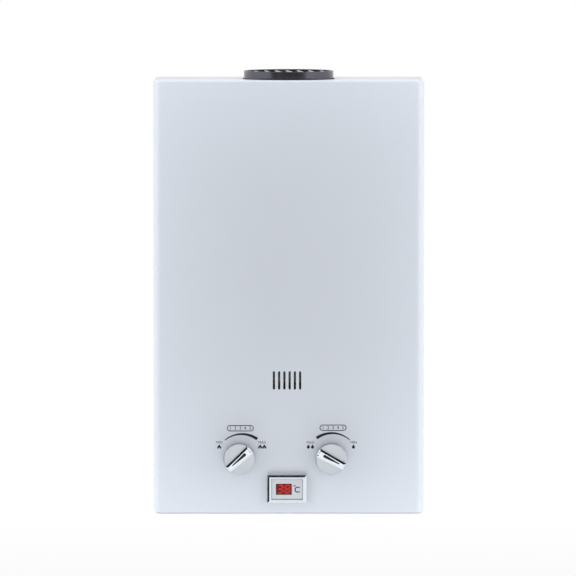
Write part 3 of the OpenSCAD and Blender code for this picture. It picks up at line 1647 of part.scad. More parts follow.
placed() front_cover();
placed() back_plate();
placed() cover_screws();
placed() connection_shelf();
placed() draft_hood();
placed() flue_collar();
placed() flue_screws();
placed() flue_guard();
placed() exchanger_shell();
placed() exchanger_fins();
placed() exchanger_tubes();
placed() exchanger_brackets();
placed() inlet_coil();
placed() hot_pipe();
placed() pipe_unions();
placed() overheat_sensor();
placed() sight_glass();
placed() burner_tray();
placed() burner_bars();
placed() gas_manifold();
placed() gas_injectors();
placed() spark_electrode();
placed() flame_sensor();
placed() ignition_module();
placed() ignition_leads();
placed() control_leads();
placed() gas_valve_body();
placed() gas_solenoid();
placed() gas_inlet_nipple();
placed() gas_spindle();
placed() push_rod();
placed() return_spring();
placed() valve_tie_bars();
placed() microswitch();
placed() switch_lever();
placed() diaphragm_cover();
placed() diaphragm();
placed() valve_screws();
placed() water_valve_body();
placed() water_spindle();
placed() spindle_glands();
placed() cold_inlet_nipple();
placed() hot_outlet_nipple();
placed() lock_nuts();
placed() drain_plug();
placed() temperature_knob();
placed() temperature_pointer();
placed() water_knob();
placed() water_pointer();
placed() battery_box();
placed() battery_lid();
placed() lid_hinge_pin();
placed() battery_cells();
placed() battery_contacts();
placed() display_bezel();
placed() display_panel();
placed() display_lens();
placed() display_board();
placed() display_housing();
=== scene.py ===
"""Looks of a tankless gas water heater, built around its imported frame.

The sheet cover, the flue, the knobs, the display, the pipe stubs with their nuts, the return
spring and the printed marks are modelled here. All other pieces keep the frame's own meshes
and get their finishes here. Sizes are in metres, in the frame's own axes: X to the right,
Y towards the wall, Z up.
"""
import json
import math
from contextlib import contextmanager

import bmesh
import bpy
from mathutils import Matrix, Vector


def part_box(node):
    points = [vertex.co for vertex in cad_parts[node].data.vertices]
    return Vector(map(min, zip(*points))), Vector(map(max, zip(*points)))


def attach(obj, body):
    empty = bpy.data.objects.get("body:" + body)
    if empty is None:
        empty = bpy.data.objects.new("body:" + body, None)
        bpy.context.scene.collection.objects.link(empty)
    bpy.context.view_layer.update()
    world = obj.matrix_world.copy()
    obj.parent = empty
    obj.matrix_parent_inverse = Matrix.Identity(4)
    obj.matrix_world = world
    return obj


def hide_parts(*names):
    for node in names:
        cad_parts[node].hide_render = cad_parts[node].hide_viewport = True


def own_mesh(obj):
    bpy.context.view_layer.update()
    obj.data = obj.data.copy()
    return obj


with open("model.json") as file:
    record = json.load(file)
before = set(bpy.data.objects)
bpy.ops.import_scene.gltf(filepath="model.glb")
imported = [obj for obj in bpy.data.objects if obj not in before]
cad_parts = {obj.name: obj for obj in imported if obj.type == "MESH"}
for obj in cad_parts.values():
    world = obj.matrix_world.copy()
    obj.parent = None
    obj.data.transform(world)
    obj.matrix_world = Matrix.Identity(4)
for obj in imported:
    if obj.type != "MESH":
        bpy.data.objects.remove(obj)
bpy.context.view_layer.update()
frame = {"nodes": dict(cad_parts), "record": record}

bl_info = {
    "name": "Gas water heater",
    "version": (1, 0, 0),
    "blender": (4, 5, 0),
    "location": "3D View > Sidebar > Heater",
    "description": "Builds the looks of a tankless gas water heater around its packed frame",
    "category": "Object",
}

MM = 0.001
HEATER = "heater"          # body of all that stands still
Y_AXIS, Z_AXIS = 1, 2
NEAR = 0.05 * MM           # places that are nearer count as one
MERGE = 0.001 * MM         # points that are nearer are merged
OVERCUT = 1 * MM           # how far a cutter reaches past a face
FACING = 0.9               # least part of a normal along the way that its face looks
STRAIGHT = 0.999           # least part of an edge along the axis that it runs with
TO_FRONT = (math.radians(90), 0, 0)
LARGE_ROUND, ROUND, BORE_ROUND, HOLE_ROUND, SCREW_ROUND = 128, 96, 64, 48, 24
FINISH_OF = {part["node"]: part["material_slot"] for part in frame["record"]["subparts"]}
# The burner tray gets zinc darkened to near black: painted shade for the inside seen through the sight
# slots.
FINISH_OF["burner_tray"] = "tray_steel"


# Properties

def length(name, size, description):
    """Length property whose default is given in millimetres."""
    return bpy.props.FloatProperty(
        name=name, description=description, default=size * MM, unit="LENGTH", precision=5)


def angle(name, degrees, description):
    """Angle property whose default is given in degrees."""
    return bpy.props.FloatProperty(
        name=name, description=description, default=math.radians(degrees), subtype="ANGLE",
        unit="ROTATION")


def colour(name, default, description):
    """Colour property in linear light."""
    return bpy.props.FloatVectorProperty(
        name=name, description=description, default=default, subtype="COLOR", size=3, min=0, max=1)


def number(name, default, description):
    """Plain number property."""
    return bpy.props.FloatProperty(name=name, description=description, default=default)


def count(name, default, description):
    """Whole number property."""
    return bpy.props.IntProperty(name=name, description=description, default=default, min=1)


class CoverSizes(bpy.types.PropertyGroup):
    """Sizes of the folded sheet cover."""
    sheet: length("Sheet", 0.8, "Thickness of the painted sheet")
    edge_radius: length("Edge radius", 10, "Radius of the upright front edges")
    fold_radius: length("Fold radius", 2.5, "Radius of the folds along the top and bottom edges")
    lip: length("Lip", 8, "Width of the return lip under the cover")
    knob_hole: length("Knob hole", 8, "Radius of the holes behind the knobs")
    flue_hole: length("Flue hole", 57, "Radius of the hole round the flue collar")
    barrel: length("Display opening", 42.2, "Width of the opening behind the display bezel")
    barrel_h: length("Display opening height", 29.6, "Height of the opening behind the display bezel")
    screw_hole: length("Screw hole", 1.9, "Radius of the cover screws' holes")
    flare: length("Slot flare", 0.3, "How far the edges of the punched slots are drawn in")
    sight_slots: count("Sight slots", 6, "Number of flame sight slots")
    sight_l: length("Sight slot length", 22.5, "Height of a sight slot")
    sight_w: length("Sight slot width", 2.8, "Width of a sight slot")
    sight_pitch: length("Sight slot pitch", 6.4, "Distance between the sight slots")
    sight_z: length("Sight slot height", -101, "Height of the middle of the sight slots")
    air_slots: count("Air slots", 9, "Number of air slots in each side")
    air_l: length("Air slot length", 64, "Length of an air slot")
    air_w: length("Air slot width", 3.2, "Width of an air slot")
    air_pitch: length("Air slot pitch", 10, "Distance between the air slots")
    air_z: length("Lowest air slot", -165, "Height of the lowest air slot")


class FlueSizes(bpy.types.PropertyGroup):
    """Sizes of the flue collar and its bladed guard."""
    ring: length("Ring radius", 55, "Outer radius of the collar")
    wall: length("Ring wall", 1.2, "Wall of the collar")
    ledge: length("Ledge", 1.6, "Ledge under the guard")
    bead: length("Bead", 1, "How far the stop bead stands out")
    bead_h: length("Bead height", 1.6, "Height of the stop bead")
    bead_lift: length("Bead lift", 0.3, "Gap between the bead and the cover's top")
    flange_t: length("Flange", 1.5, "Thickness of the collar's flange")
    flange_r: length("Flange corner", 5, "Corner radius of the flange")
    guard_wall: length("Guard wall", 2.4, "Wall of the guard's ring")
    blades: count("Blades", 7, "Number of blades in the guard")
    blade_t: length("Blade", 1.6, "Thickness of a blade")
    pitch: length("Blade pitch", 13.6, "Distance between the blades")
    lean: angle("Blade lean", 28, "Lean of the blades")
    turn: angle("Blade turn", 6, "Turn of the blades from straight back")


class KnobSizes(bpy.types.PropertyGroup):
    """Sizes of the two knobs."""
    disc_h: length("Disc height", 8, "Height of the turned disc")
    edge_r: length("Disc edge", 1.5, "Rounding of the disc's front edge")
    dish: length("Dish", 0.25, "Depth of the shallow dish in the disc's face")
    grip_wide: length("Grip, pointing end", 12.6, "Width of the grip at its pointing end")
    grip_narrow: length("Grip, tail", 9.6, "Width of the grip at its tail")
    draft: length("Grip draft", 0.6, "Draft of the grip's flanks")
    bevel: length("Grip bevel", 2.6, "Width of the bevels along the grip")
    slope: length("Grip slope", 1.9, "Height of the bevels along the grip")
    end_r: length("Grip end", 4, "Rounding of the grip's ends")
    tuck: length("Grip tuck", 0.15, "How far the grip's ends stay inside the disc's rim")
    soft: length("Grip edges", 0.45, "Rounding of the grip's small edges")
    temperature: angle("Temperature pointer", -48, "Turn of the temperature knob at rest")
    water: angle("Water pointer", 62, "Turn of the water knob at rest")
    pointer_reach: length("Pointer reach", 11, "Distance of the pointer inlay's ends from the axis")
    pointer_wide: length("Pointer wide end", 1.8, "Radius of the pointer inlay's wide end")
    pointer_narrow: length("Pointer narrow end", 0.6, "Radius of the pointer inlay's narrow end")
    pointer_t: length("Pointer depth", 0.8, "Depth of the pointer inlay")
    play: length("Pointer play", 0.05, "Play round the pointer inlay")


class DisplaySizes(bpy.types.PropertyGroup):
    """Sizes of the display's bezel, panel, window and digits."""
    slope: length("Slope", 1.8, "Height of the bezel's bevel")
    rise: length("Rise", 4, "How far the bezel stands out from the cover")
    bevel: length("Bevel", 2.6, "Width of the bezel's bevel")
    barrel_wall: length("Barrel wall", 1.8, "Wall of the bezel's barrel round its panel")
    ledge: length("Ledge", 1.6, "Width of the ledge behind the panel")
    soft: length("Bezel edges", 0.22, "Rounding of the bezel's edges")
    panel_soft: length("Panel edges", 0.3, "Rounding of the panel's edges")
    window: length("Window", 0.55, "Thickness of the tinted window")
    digit_w: length("Digit width", 7.4, "Width of a digit")
    digit_h: length("Digit height", 11.4, "Height of a digit")
    digit_pitch: length("Digit pitch", 8.8, "Distance between the two digits")
    segment: length("Segment", 2.0, "Width of a digit's segment")
    segment_gap: length("Segment gap", 0.3, "Gap between a digit's segments")
    lean: angle("Digit lean", 5, "Lean of the digits")
    sign_film: length("Sign film", 0.04, "Thickness of the printed unit sign")
    sign_h: length("Sign", 9.9, "Size of the unit letter")
    sign_bold: number("Sign boldness", 0.018, "Thickening of the unit letter, as a share of its size")
    sign_x: length("Sign across", 10.4, "Place of the unit letter across the case")
    sign_z: length("Sign height", -235.2, "Height of the unit letter's middle")
    degree_r: length("Degree ring", 1.2, "Radius of the degree ring")
    degree_line: length("Degree line", 0.55, "Line width of the degree ring")
    degree_x: length("Degree across", 7.1, "Place of the degree ring across the case")
    degree_z: length("Degree height", -230, "Height of the degree ring's middle")
    reading: bpy.props.StringProperty(
        name="Reading", description="Temperature that the display shows", default="38")


class PipeSizes(bpy.types.PropertyGroup):
    """Sizes of the threaded pipe stubs and their lock nuts."""
    thread_r: length("Thread radius", 10.48, "Outer radius of the pipe threads")
    pitch: length("Pitch", 1.814, "Pitch of the pipe threads")
    depth: length("Thread depth", 1.16, "Depth of the pipe threads")
    lead: length("Lead", 1.3, "Length of the chamfer at a thread's end")
    bore: length("Bore", 7, "Radius of the stubs' bore")
    relief: length("Relief", 0.8, "Depth of the groove between thread and nut")
    relief_w: length("Relief width", 1, "Width of the groove between thread and nut")
    collar_h: length("Collar", 8.5, "Height of the hexagon above the shelf")
    shelf: length("Shelf", 1.5, "Thickness of the shelf between collar and nut")
    across: length("Across flats", 27, "Width of the hexagons across their flats")
    nut_play: length("Nut play", 0.08, "Play between nut and thread")


class SpringSizes(bpy.types.PropertyGroup):
    """Sizes of the spring that returns the push rod."""
    wire: length("Wire", 1.4, "Diameter of the spring's wire")
    coil_d: length("Coil", 11, "Diameter of the spring over the middle of its wire")
    curls: count("Curls", 7, "Curls of the spring")


class MarkSizes(bpy.types.PropertyGroup):
    """Sizes of the marks that are printed on the cover."""
    film: length("Film", 0.03, "Thickness of the printed film")
    temperature_arc_x: length(
        "Temperature arc across", 3.2, "Middle of the arc across from its knob's axis")
    temperature_arc_z: length("Temperature arc height", -2.5, "Middle of the arc above its knob's axis")
    temperature_pill_x: length(
        "Temperature scale across", 1.4, "Middle of the scale across from its knob's axis")
    temperature_pill_z: length(
        "Temperature scale height", 36.8, "Middle of the scale above its knob's axis")
    temperature_icon_x: length("Flames across", 1.9, "Middle of the flames across from their knob's axis")
    water_arc_x: length("Water arc across", 1.0, "Middle of the arc across from its knob's axis")
    water_arc_z: length("Water arc height", -1.3, "Middle of the arc above its knob's axis")
    water_pill_x: length("Water scale across", 2.2, "Middle of the scale across from its knob's axis")
    water_pill_z: length("Water scale height", 37.4, "Middle of the scale above its knob's axis")
    water_icon_x: length("Drops across", 0.9, "Middle of the drops across from their knob's axis")
    arc_r: length("Arc radius", 32.1, "Radius of the arcs over the knobs")
    arc_thin: length("Arc thin end", 1.0, "Width of an arc's thin end")
    arc_thick: length("Arc thick end", 3.7, "Width of an arc's thick end")
    pill_w: length("Pill width", 32.8, "Width of the outlined scales over the arcs")
    pill_h: length("Pill height", 7.6, "Height of the outlined scales over the arcs")
    pill_line: length("Pill line", 0.95, "Line width of the outlined scales")
    text_h: length("Scale text", 5.7, "Height of the numbers in the scales")
    word_h: length("End text", 4.5, "Height of the words at the ends of the arcs")
    flame_h: length("Flame", 5.2, "Height of a flame")
    drop_h: length("Drop", 5.4, "Height of a drop")
    icon_x: length("Pictogram place", 26.3, "Distance of the pictograms from the marks' middle")
    icon_z: length("Pictogram height", 14.4, "Height of the pictograms above the knob axes")
    icon_pitch: length("Pictogram pitch", 5.1, "Distance between two pictograms of a pair")
    word_z: length("End text height", 19.3, "Height of the words above the knob axes")


class StageSizes(bpy.types.PropertyGroup):
    """Camera, lights and floor."""
    frame_size: length("Frame", 702.0, "Width of the picture at the cover's front")
    distance: length("Distance", 6000, "Distance of the camera from the cover's front")
    elevation: angle("Elevation", 4.4, "Height of the camera above the horizon")
    aim_x: length("Aim across", -0.8, "Middle of the picture across the front")
    aim_z: length("Aim height", 12.1, "Middle of the picture up the front")
    floor_drop: length("Floor", 400, "Distance of the floor below the case")
    floor_size: length("Floor size", 60000, "Side of the floor")
    lamp_gap: length("Lamp gap", 235, "Distance of the softboxes from the case's sides")
    lamp_out: length("Lamp stand-off", 125, "Distance of the softboxes in front of the cover")
    world: number("World light", 0.50, "Strength of the light from all round")
    side_light: number("Side light", 1.46, "Power of each upright softbox")
    top_light: number("Top light", 0.92, "Power of the softbox above")
    low_light: number("Low light", 1.05, "Power of the softbox below")


class FinishColours(bpy.types.PropertyGroup):
    """Colours of the finishes, named as the record's material slots."""
    panel_paint: colour("Panel paint", (0.615, 0.655, 0.720), "Silver white paint of the cover")
    zinc_sheet: colour("Zinc sheet", (0.60, 0.62, 0.64), "Zinc coated sheet")
    screw_steel: colour("Screw steel", (0.62, 0.62, 0.60), "Plated screws and pins")
    flue_steel: colour("Flue steel", (0.162, 0.162, 0.189), "Darkened steel of the flue")
    copper: colour("Copper", (0.78, 0.36, 0.22), "Copper tubes and fins")
    brass: colour("Brass", (0.72, 0.54, 0.24), "Brass fittings")
    burner_steel: colour("Burner steel", (0.56, 0.54, 0.52), "Stainless burner bars")
    cast_alloy: colour("Cast alloy", (0.55, 0.56, 0.57), "Cast valve bodies")
    black_plastic: colour("Black plastic", (0.012, 0.012, 0.014), "Moulded black plastic")
    grey_plastic: colour("Grey plastic", (0.30, 0.31, 0.32), "Moulded grey plastic")
    chrome_knob: colour("Knob chrome", (0.775, 0.82, 0.88), "Plating of the knobs and the bezel")
    display_face: colour("Display face", (0.60, 0.63, 0.68), "Face of the display panel")
    display_red: colour("Display red", (0.75, 0.02, 0.02), "Tinted window over the digits")
    circuit_board: colour("Circuit board", (0.015, 0.10, 0.04), "Lacquered circuit board")
    ceramic: colour("Ceramic", (0.80, 0.76, 0.68), "Electrode insulators")
    lead_red: colour("Red lead", (0.48, 0.030, 0.022), "Insulation of the ignition leads")
    lead_grey: colour("Grey lead", (0.22, 0.22, 0.23), "Insulation of the control leads")
    rubber: colour("Rubber", (0.025, 0.024, 0.024), "Diaphragm rubber")
    # The mica's dark tone is painted shade for the inside seen through the sight slots.
    mica: colour("Mica", (0.14, 0.12, 0.09), "Smoked sight window")
    cell_jacket: colour("Cell jacket", (0.05, 0.16, 0.09), "Jacket of the cells")
    ink: colour("Ink", (0.016, 0.016, 0.021), "Printed marks")
    glow: colour("Glow", (1.0, 0.035, 0.03), "Lit segments of the digits")


# Modelling helpers

def alone():
    """Leaves edit mode and drops every selection."""
    if bpy.context.mode != "OBJECT":
        bpy.ops.object.mode_set(mode="OBJECT")
    bpy.ops.object.select_all(action="DESELECT")


def only(piece):
    """Makes one piece the whole selection."""
    alone()
    piece.select_set(True)
    bpy.context.view_layer.objects.active = piece
    return piece


def started(name, primitive, **sizes):
    """Adds a primitive that is alone in the selection."""
    alone()
    primitive(**sizes)
    piece = bpy.context.object
    piece.name = name
    piece.data.name = name
    return piece


def settled(piece, location=(0, 0, 0), turn=(0, 0, 0)):
    """Moves a piece's place and turn into its mesh."""
    only(piece)
    piece.location = location
    piece.rotation_euler = turn
    bpy.ops.object.transform_apply(location=True, rotation=True, scale=True)
    return piece


def cuboid(name, low, high):
    """Box between two corners, its place in its mesh."""
    low, high = Vector(low), Vector(high)
    box = started(name, bpy.ops.mesh.primitive_cube_add, size=1, location=(low + high) / 2)
    box.scale = high - low
    return settled(box, box.location)


@contextmanager
def editing(piece):
    """Opens one piece in edit mode for a while."""
    only(piece)
    bpy.ops.object.mode_set(mode="EDIT")
    try:
        yield piece
    finally:
        bpy.ops.object.mode_set(mode="OBJECT")


def pick(kind, wanted):
    """Selects in edit mode the vertices, edges or faces that pass a test."""
    mesh = bpy.context.edit_object.data
    bpy.ops.mesh.select_mode(type=kind)
    bpy.ops.mesh.select_all(action="DESELECT")
    grid = bmesh.from_edit_mesh(mesh)
    for item in {"VERT": grid.verts, "EDGE": grid.edges, "FACE": grid.faces}[kind]:
        if wanted(item):
            item.select_set(True)
    grid.select_flush_mode()
    bmesh.update_edit_mesh(mesh)


def ends_at(edge, axis, place):
    """True where both ends of an edge lie at a place along an axis."""
    return all(abs(v.co[axis] - place) < NEAR for v in edge.verts)


def runs_along(edge, axis):
    """True where an edge runs along an axis."""
    way = edge.verts[1].co - edge.verts[0].co
    return abs(way[axis]) > STRAIGHT * way.length


def bevelled(width, steps):
    """Bevels the edges that are selected in edit mode."""
    bpy.ops.mesh.bevel(offset=width, segments=steps, affect="EDGES")


def extruded(way):
    """Extrudes what is selected in edit mode."""
    bpy.ops.mesh.extrude_region_move(TRANSFORM_OT_translate={"value": way})


def modified(piece, kind, **settings):
    """Adds a modifier and applies it."""
    only(piece)
    modifier = piece.modifiers.new(kind.lower(), kind)
    for key, value in settings.items():
        setattr(modifier, key, value)
    bpy.ops.object.modifier_apply(modifier=modifier.name)
    return piece


def combined(piece, tool, operation):
    """Cuts, joins or trims a piece with another one, which is used up."""
    modified(piece, "BOOLEAN", operation=operation, object=tool, solver="EXACT", material_mode="TRANSFER")
    bpy.data.objects.remove(tool)
    return piece


def joined(pieces, name):
    """Several pieces as one object."""
    alone()
    for piece in pieces:
        piece.select_set(True)
    bpy.context.view_layer.objects.active = pieces[0]
    bpy.ops.object.join()
    pieces[0].name = name
    pieces[0].data.name = name
    return pieces[0]


def repeated(piece, times, step):
    """A row of copies in one mesh."""
    return modified(piece, "ARRAY", count=times, use_relative_offset=False, use_constant_offset=True,
                    constant_offset_displace=step)


def softened(piece, width, steps=3, limit=30):
    """Rounds the sharp edges of a piece."""
    return modified(piece, "BEVEL", width=width, segments=steps, limit_method="ANGLE",
                    angle_limit=math.radians(limit), use_clamp_overlap=True, harden_normals=False)


def smoothed(piece, limit=32):
    """Smooth shading over round faces, flat shading over flat ones."""
    only(piece)
    bpy.ops.object.shade_smooth_by_angle(angle=math.radians(limit))
    return modified(piece, "WEIGHTED_NORMAL", keep_sharp=True, weight=100, mode="FACE_AREA")


def tidy_mesh(piece):
    """Merges doubles and turns the faces outwards."""
    with editing(piece):
        bpy.ops.mesh.select_all(action="SELECT")
        bpy.ops.mesh.remove_doubles(threshold=MERGE)
        bpy.ops.mesh.normals_make_consistent(inside=False)
    return piece


def turned(name, profile, steps=ROUND, closed=False):
    """Turns a profile of radii and heights round Z, as a solid or as a closed ring."""
    radius, height = profile[0]
    piece = started(name, bpy.ops.mesh.primitive_circle_add, vertices=steps, radius=radius,
                    fill_type="NOTHING" if closed else "NGON", location=(0, 0, height))
    settled(piece, piece.location)
    with editing(piece):
        bpy.ops.mesh.select_mode(type="VERT")
        bpy.ops.mesh.select_all(action="SELECT")
        for next_radius, next_height in profile[1:] + (profile[:1] if closed else []):
            extruded((0, 0, next_height - height))
            grow = next_radius / radius
            bpy.ops.transform.resize(value=(grow, grow, 1), center_override=(0, 0, next_height))
            radius, height = next_radius, next_height
    return tidy_mesh(piece)


def arc(centre, radius, start, end, steps):
    """Points of an arc, angles in degrees."""
    turns = [math.radians(start + (end - start) * i / steps) for i in range(steps + 1)]
    return [(centre[0] + radius * math.cos(t), centre[1] + radius * math.sin(t)) for t in turns]


def drawn(name, outlines, depth, location, turn=TO_FRONT):
    """Flat shape with holes from closed outlines, given a thin depth and turned to the front."""
    alone()
    curve = bpy.data.curves.new(name, "CURVE")
    curve.dimensions = "2D"
    curve.fill_mode = "BOTH"
    curve.extrude = depth / 2
    for outline in outlines:
        spline = curve.splines.new("POLY")
        spline.points.add(len(outline) - 1)
        for point, (x, y) in zip(spline.points, outline):
            point.co = (x, y, 0, 1)
        spline.use_cyclic_u = True
    piece = bpy.data.objects.new(name, curve)
    bpy.context.collection.objects.link(piece)
    only(piece)
    bpy.ops.object.convert(target="MESH")
    return settled(bpy.context.object, location, turn)


def lettered(name, words, height, depth, location, bold=0):
    """Plain lettering as a thin mesh turned to the front, centred on its place."""
    alone()
    bpy.ops.object.text_add()
    text = bpy.context.object
    text.name = name
    text.data.body = words
    text.data.size = height
    text.data.extrude = depth / 2
    text.data.offset = height * bold
    text.data.align_x = "CENTER"
    text.data.align_y = "CENTER"
    bpy.ops.object.convert(target="MESH")
    return settled(bpy.context.object, location, TO_FRONT)


def coat(piece, finish):
    """Gives a piece one finish all over."""
    piece.data.materials.clear()
    piece.data.materials.append(bpy.data.materials[finish_name(finish)])


def dressed(piece, body, slot, finish, *nodes):
    """Gives a piece its body, hides the nodes that it stands for and, where one is named, gives it its
    finish; the slot is not used.
    """
    if finish:
        coat(piece, finish)
    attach(piece, body)
    if nodes:
        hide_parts(*nodes)
    return piece


def middle(node):
    """Middle of a node's box."""
    low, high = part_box(node)
    return (low + high) / 2


# Shared effects

MIX_A, MIX_B, MIX_RESULT = 6, 7, 2     # colour sockets of a Mix node
MIDDLE = 0.5                           # middle of a noise's values
RAGGED = 0.06                          # how far the edge of a heat tint wanders
FLAKE_BEND = 0.006                     # how far the edges of zinc flakes wander


def effect_group(name, inputs, outputs):
    """Empty shader node group with named value, colour and vector sockets."""
    group = bpy.data.node_groups.new(name, "ShaderNodeTree")
    for direction, sockets in (("INPUT", inputs), ("OUTPUT", outputs)):
        for label, kind in sockets.items():
            group.interface.new_socket(name=label, in_out=direction, socket_type=f"NodeSocket{kind}")
    return group, group.nodes.new("NodeGroupInput"), group.nodes.new("NodeGroupOutput")


def wired(tree, kind, inputs=None, **settings):
    """Adds a node, sets it and links or fills its inputs."""
    node = tree.nodes.new(kind)
    for key, value in settings.items():
        setattr(node, key, value)
    for key, value in (inputs or {}).items():
        if isinstance(value, bpy.types.NodeSocket):
            tree.links.new(value, node.inputs[key])
        else:
            node.inputs[key].default_value = value
    return node


def reckoned(tree, operation, *values, **settings):
    """Result of a math node."""
    return wired(tree, "ShaderNodeMath", dict(enumerate(values)),
                 operation=operation, **settings).outputs[0]


def object_place(tree):
    """Place on the surface in the piece's own axes."""
    return wired(tree, "ShaderNodeTexCoord").outputs["Object"]


def emptied(owner):
    """Node tree of a material or a world, with nothing in it."""
    owner.use_nodes = True
    owner.node_tree.nodes.clear()
    return owner.node_tree


def make_mottle():
    """Soft patches that vary a colour or a roughness over a surface."""
    tree, given, result = effect_group(
        "Mottle", {"Scale": "Float", "Contrast": "Float"}, {"Mask": "Float"})
    noise = wired(tree, "ShaderNodeTexNoise",
                  {"Vector": object_place(tree), "Scale": given.outputs["Scale"], "Detail": 5.0,
                   "Roughness": 0.6})
    away = reckoned(tree, "SUBTRACT", noise.outputs["Fac"], MIDDLE)
    wide = reckoned(tree, "MULTIPLY", away, given.outputs["Contrast"])
    tree.links.new(reckoned(tree, "ADD", wide, MIDDLE, use_clamp=True), result.inputs["Mask"])


def make_grain():
    """Fine grain, drawn out along the axes by the stretch."""
    tree, given, result = effect_group(
        "Grain", {"Scale": "Float", "Stretch": "Vector"}, {"Height": "Float"})
    drawn_out = wired(tree, "ShaderNodeMapping",
                      {"Vector": object_place(tree), "Scale": given.outputs["Stretch"]})
    noise = wired(tree, "ShaderNodeTexNoise",
                  {"Vector": drawn_out.outputs[0], "Scale": given.outputs["Scale"], "Detail": 2.0})
    tree.links.new(noise.outputs["Fac"], result.inputs["Height"])


def make_spangle():
    """Crystal flakes of a zinc coat."""
    tree, given, result = effect_group(
        "Spangle", {"Scale": "Float"}, {"Mask": "Float", "Height": "Float"})
    place = object_place(tree)
    bent = wired(tree, "ShaderNodeTexNoise", {"Vector": place, "Scale": 160.0, "Detail": 2.0})
    shift = wired(tree, "ShaderNodeVectorMath", {0: bent.outputs["Color"], 1: (FLAKE_BEND,) * 3},
                  operation="MULTIPLY")
    bent_place = wired(tree, "ShaderNodeVectorMath", {0: place, 1: shift.outputs[0]}, operation="ADD")
    flakes = wired(tree, "ShaderNodeTexVoronoi",
                   {"Vector": bent_place.outputs[0], "Scale": given.outputs["Scale"]}, feature="F1")
    split = wired(tree, "ShaderNodeSeparateColor", {"Color": flakes.outputs["Color"]})
    for part, label in zip(split.outputs, ("Mask", "Height")):
        tree.links.new(part, result.inputs[label])


def make_heat():
    """Mask that grows from one height to another, with a ragged edge, where flames have tinted a metal."""
    tree, given, result = effect_group(
        "Heat", {"Cool height": "Float", "Hot height": "Float"}, {"Mask": "Float"})
    place = object_place(tree)
    ragged = wired(tree, "ShaderNodeTexNoise", {"Vector": place, "Scale": 28.0, "Detail": 4.0})
    shift = reckoned(tree, "MULTIPLY_ADD", ragged.outputs["Fac"], RAGGED, -MIDDLE * RAGGED)
    up = wired(tree, "ShaderNodeSeparateXYZ", {"Vector": place})
    mask = wired(tree, "ShaderNodeMapRange",
                 {"Value": reckoned(tree, "ADD", up.outputs["Z"], shift),
                  "From Min": given.outputs["Cool height"], "From Max": given.outputs["Hot height"]},
                 interpolation_type="SMOOTHSTEP")
    tree.links.new(mask.outputs["Result"], result.inputs["Mask"])


# Finishes

def finish_name(name):
    """Name of a finish's material, apart from the frame's own materials."""
    return f"{name}_finish"


class Finish:
    """One procedural material, wired from the shared effects."""

    def __init__(self, name, **sockets):
        self.tree = emptied(bpy.data.materials.new(finish_name(name)))
        self.shader = self.add("ShaderNodeBsdfPrincipled")
        self.add("ShaderNodeOutputMaterial", {"Surface": self.shader.outputs[0]})
        for label, value in sockets.items():
            self.shader.inputs[label.replace("_", " ")].default_value = value

    def add(self, kind, inputs=None, **settings):
        """One more node."""
        return wired(self.tree, kind, inputs, **settings)

    def effect(self, name, **values):
        """One of the shared effects with its own values."""
        node = self.add("ShaderNodeGroup", node_tree=bpy.data.node_groups[name])
        for label, value in values.items():
            node.inputs[label.replace("_", " ")].default_value = value
        return node

    def blend(self, mask, first, second):
        """Colour that goes from the first to the second with a mask."""
        mix = self.add("ShaderNodeMix", data_type="RGBA")
        self.tree.links.new(mask, mix.inputs[0])
        for socket, value in ((mix.inputs[MIX_A], first), (mix.inputs[MIX_B], second)):
            if isinstance(value, bpy.types.NodeSocket):
                self.tree.links.new(value, socket)
            else:
                socket.default_value = (*value, 1)
        return mix.outputs[MIX_RESULT]

    def spread(self, mask, low, high):
        """Value between two ends, by a mask."""
        return self.add("ShaderNodeMapRange", {"Value": mask, "To Min": low, "To Max": high}).outputs[0]

    def feed(self, label, socket):
        """Links a value to the shader."""
        self.tree.links.new(socket, self.shader.inputs[label])

    def base(self):
        """What feeds the shader's colour so far."""
        return self.shader.inputs["Base Color"].links[0].from_socket

    def tint(self, mask, tone):
        """Lays a tone over the colour by a mask."""
        self.feed("Base Color", self.blend(mask, self.base(), tone))

    def bump(self, height, distance):
        """Relief from a height, its depth in metres."""
        relief = self.add("ShaderNodeBump", {"Height": height, "Distance": distance, "Strength": 1.0})
        self.feed("Normal", relief.outputs[0])


def shade(tone, factor):
    """A colour made darker or lighter."""
    return tuple(min(1.0, part * factor) for part in tone)


def surfaced(name, tone, darker, rough, patch, grain, depth, stretch=(1, 1, 1), contrast=2.0, **sockets):
    """Finish whose colour and roughness drift in patches and whose relief is a fine grain."""
    finish = Finish(name, **sockets)
    mottle = finish.effect("Mottle", Scale=patch, Contrast=contrast).outputs["Mask"]
    finish.feed("Base Color", finish.blend(mottle, shade(tone, darker), tone))
    finish.feed("Roughness", finish.spread(mottle, rough[1], rough[0]))
    relief = finish.effect("Grain", Scale=grain, Stretch=stretch).outputs["Height"]
    finish.bump(relief, depth * MM)
    return finish


# Tone and its factor where a finish doesn't have the plain tone of its own name. The tray's zinc at 0.15 is
# painted shade for the inside seen through the sight slots.
TONES = {"tray_steel": ("zinc_sheet", 0.15), "chrome_knob": ("chrome_knob", 0.86),
         "bright_chrome": ("chrome_knob", 1.11), "bezel_chrome": ("chrome_knob", 1.05),
         "display_digits": ("glow", 1), "digit_reflector": ("grey_plastic", 0.9)}
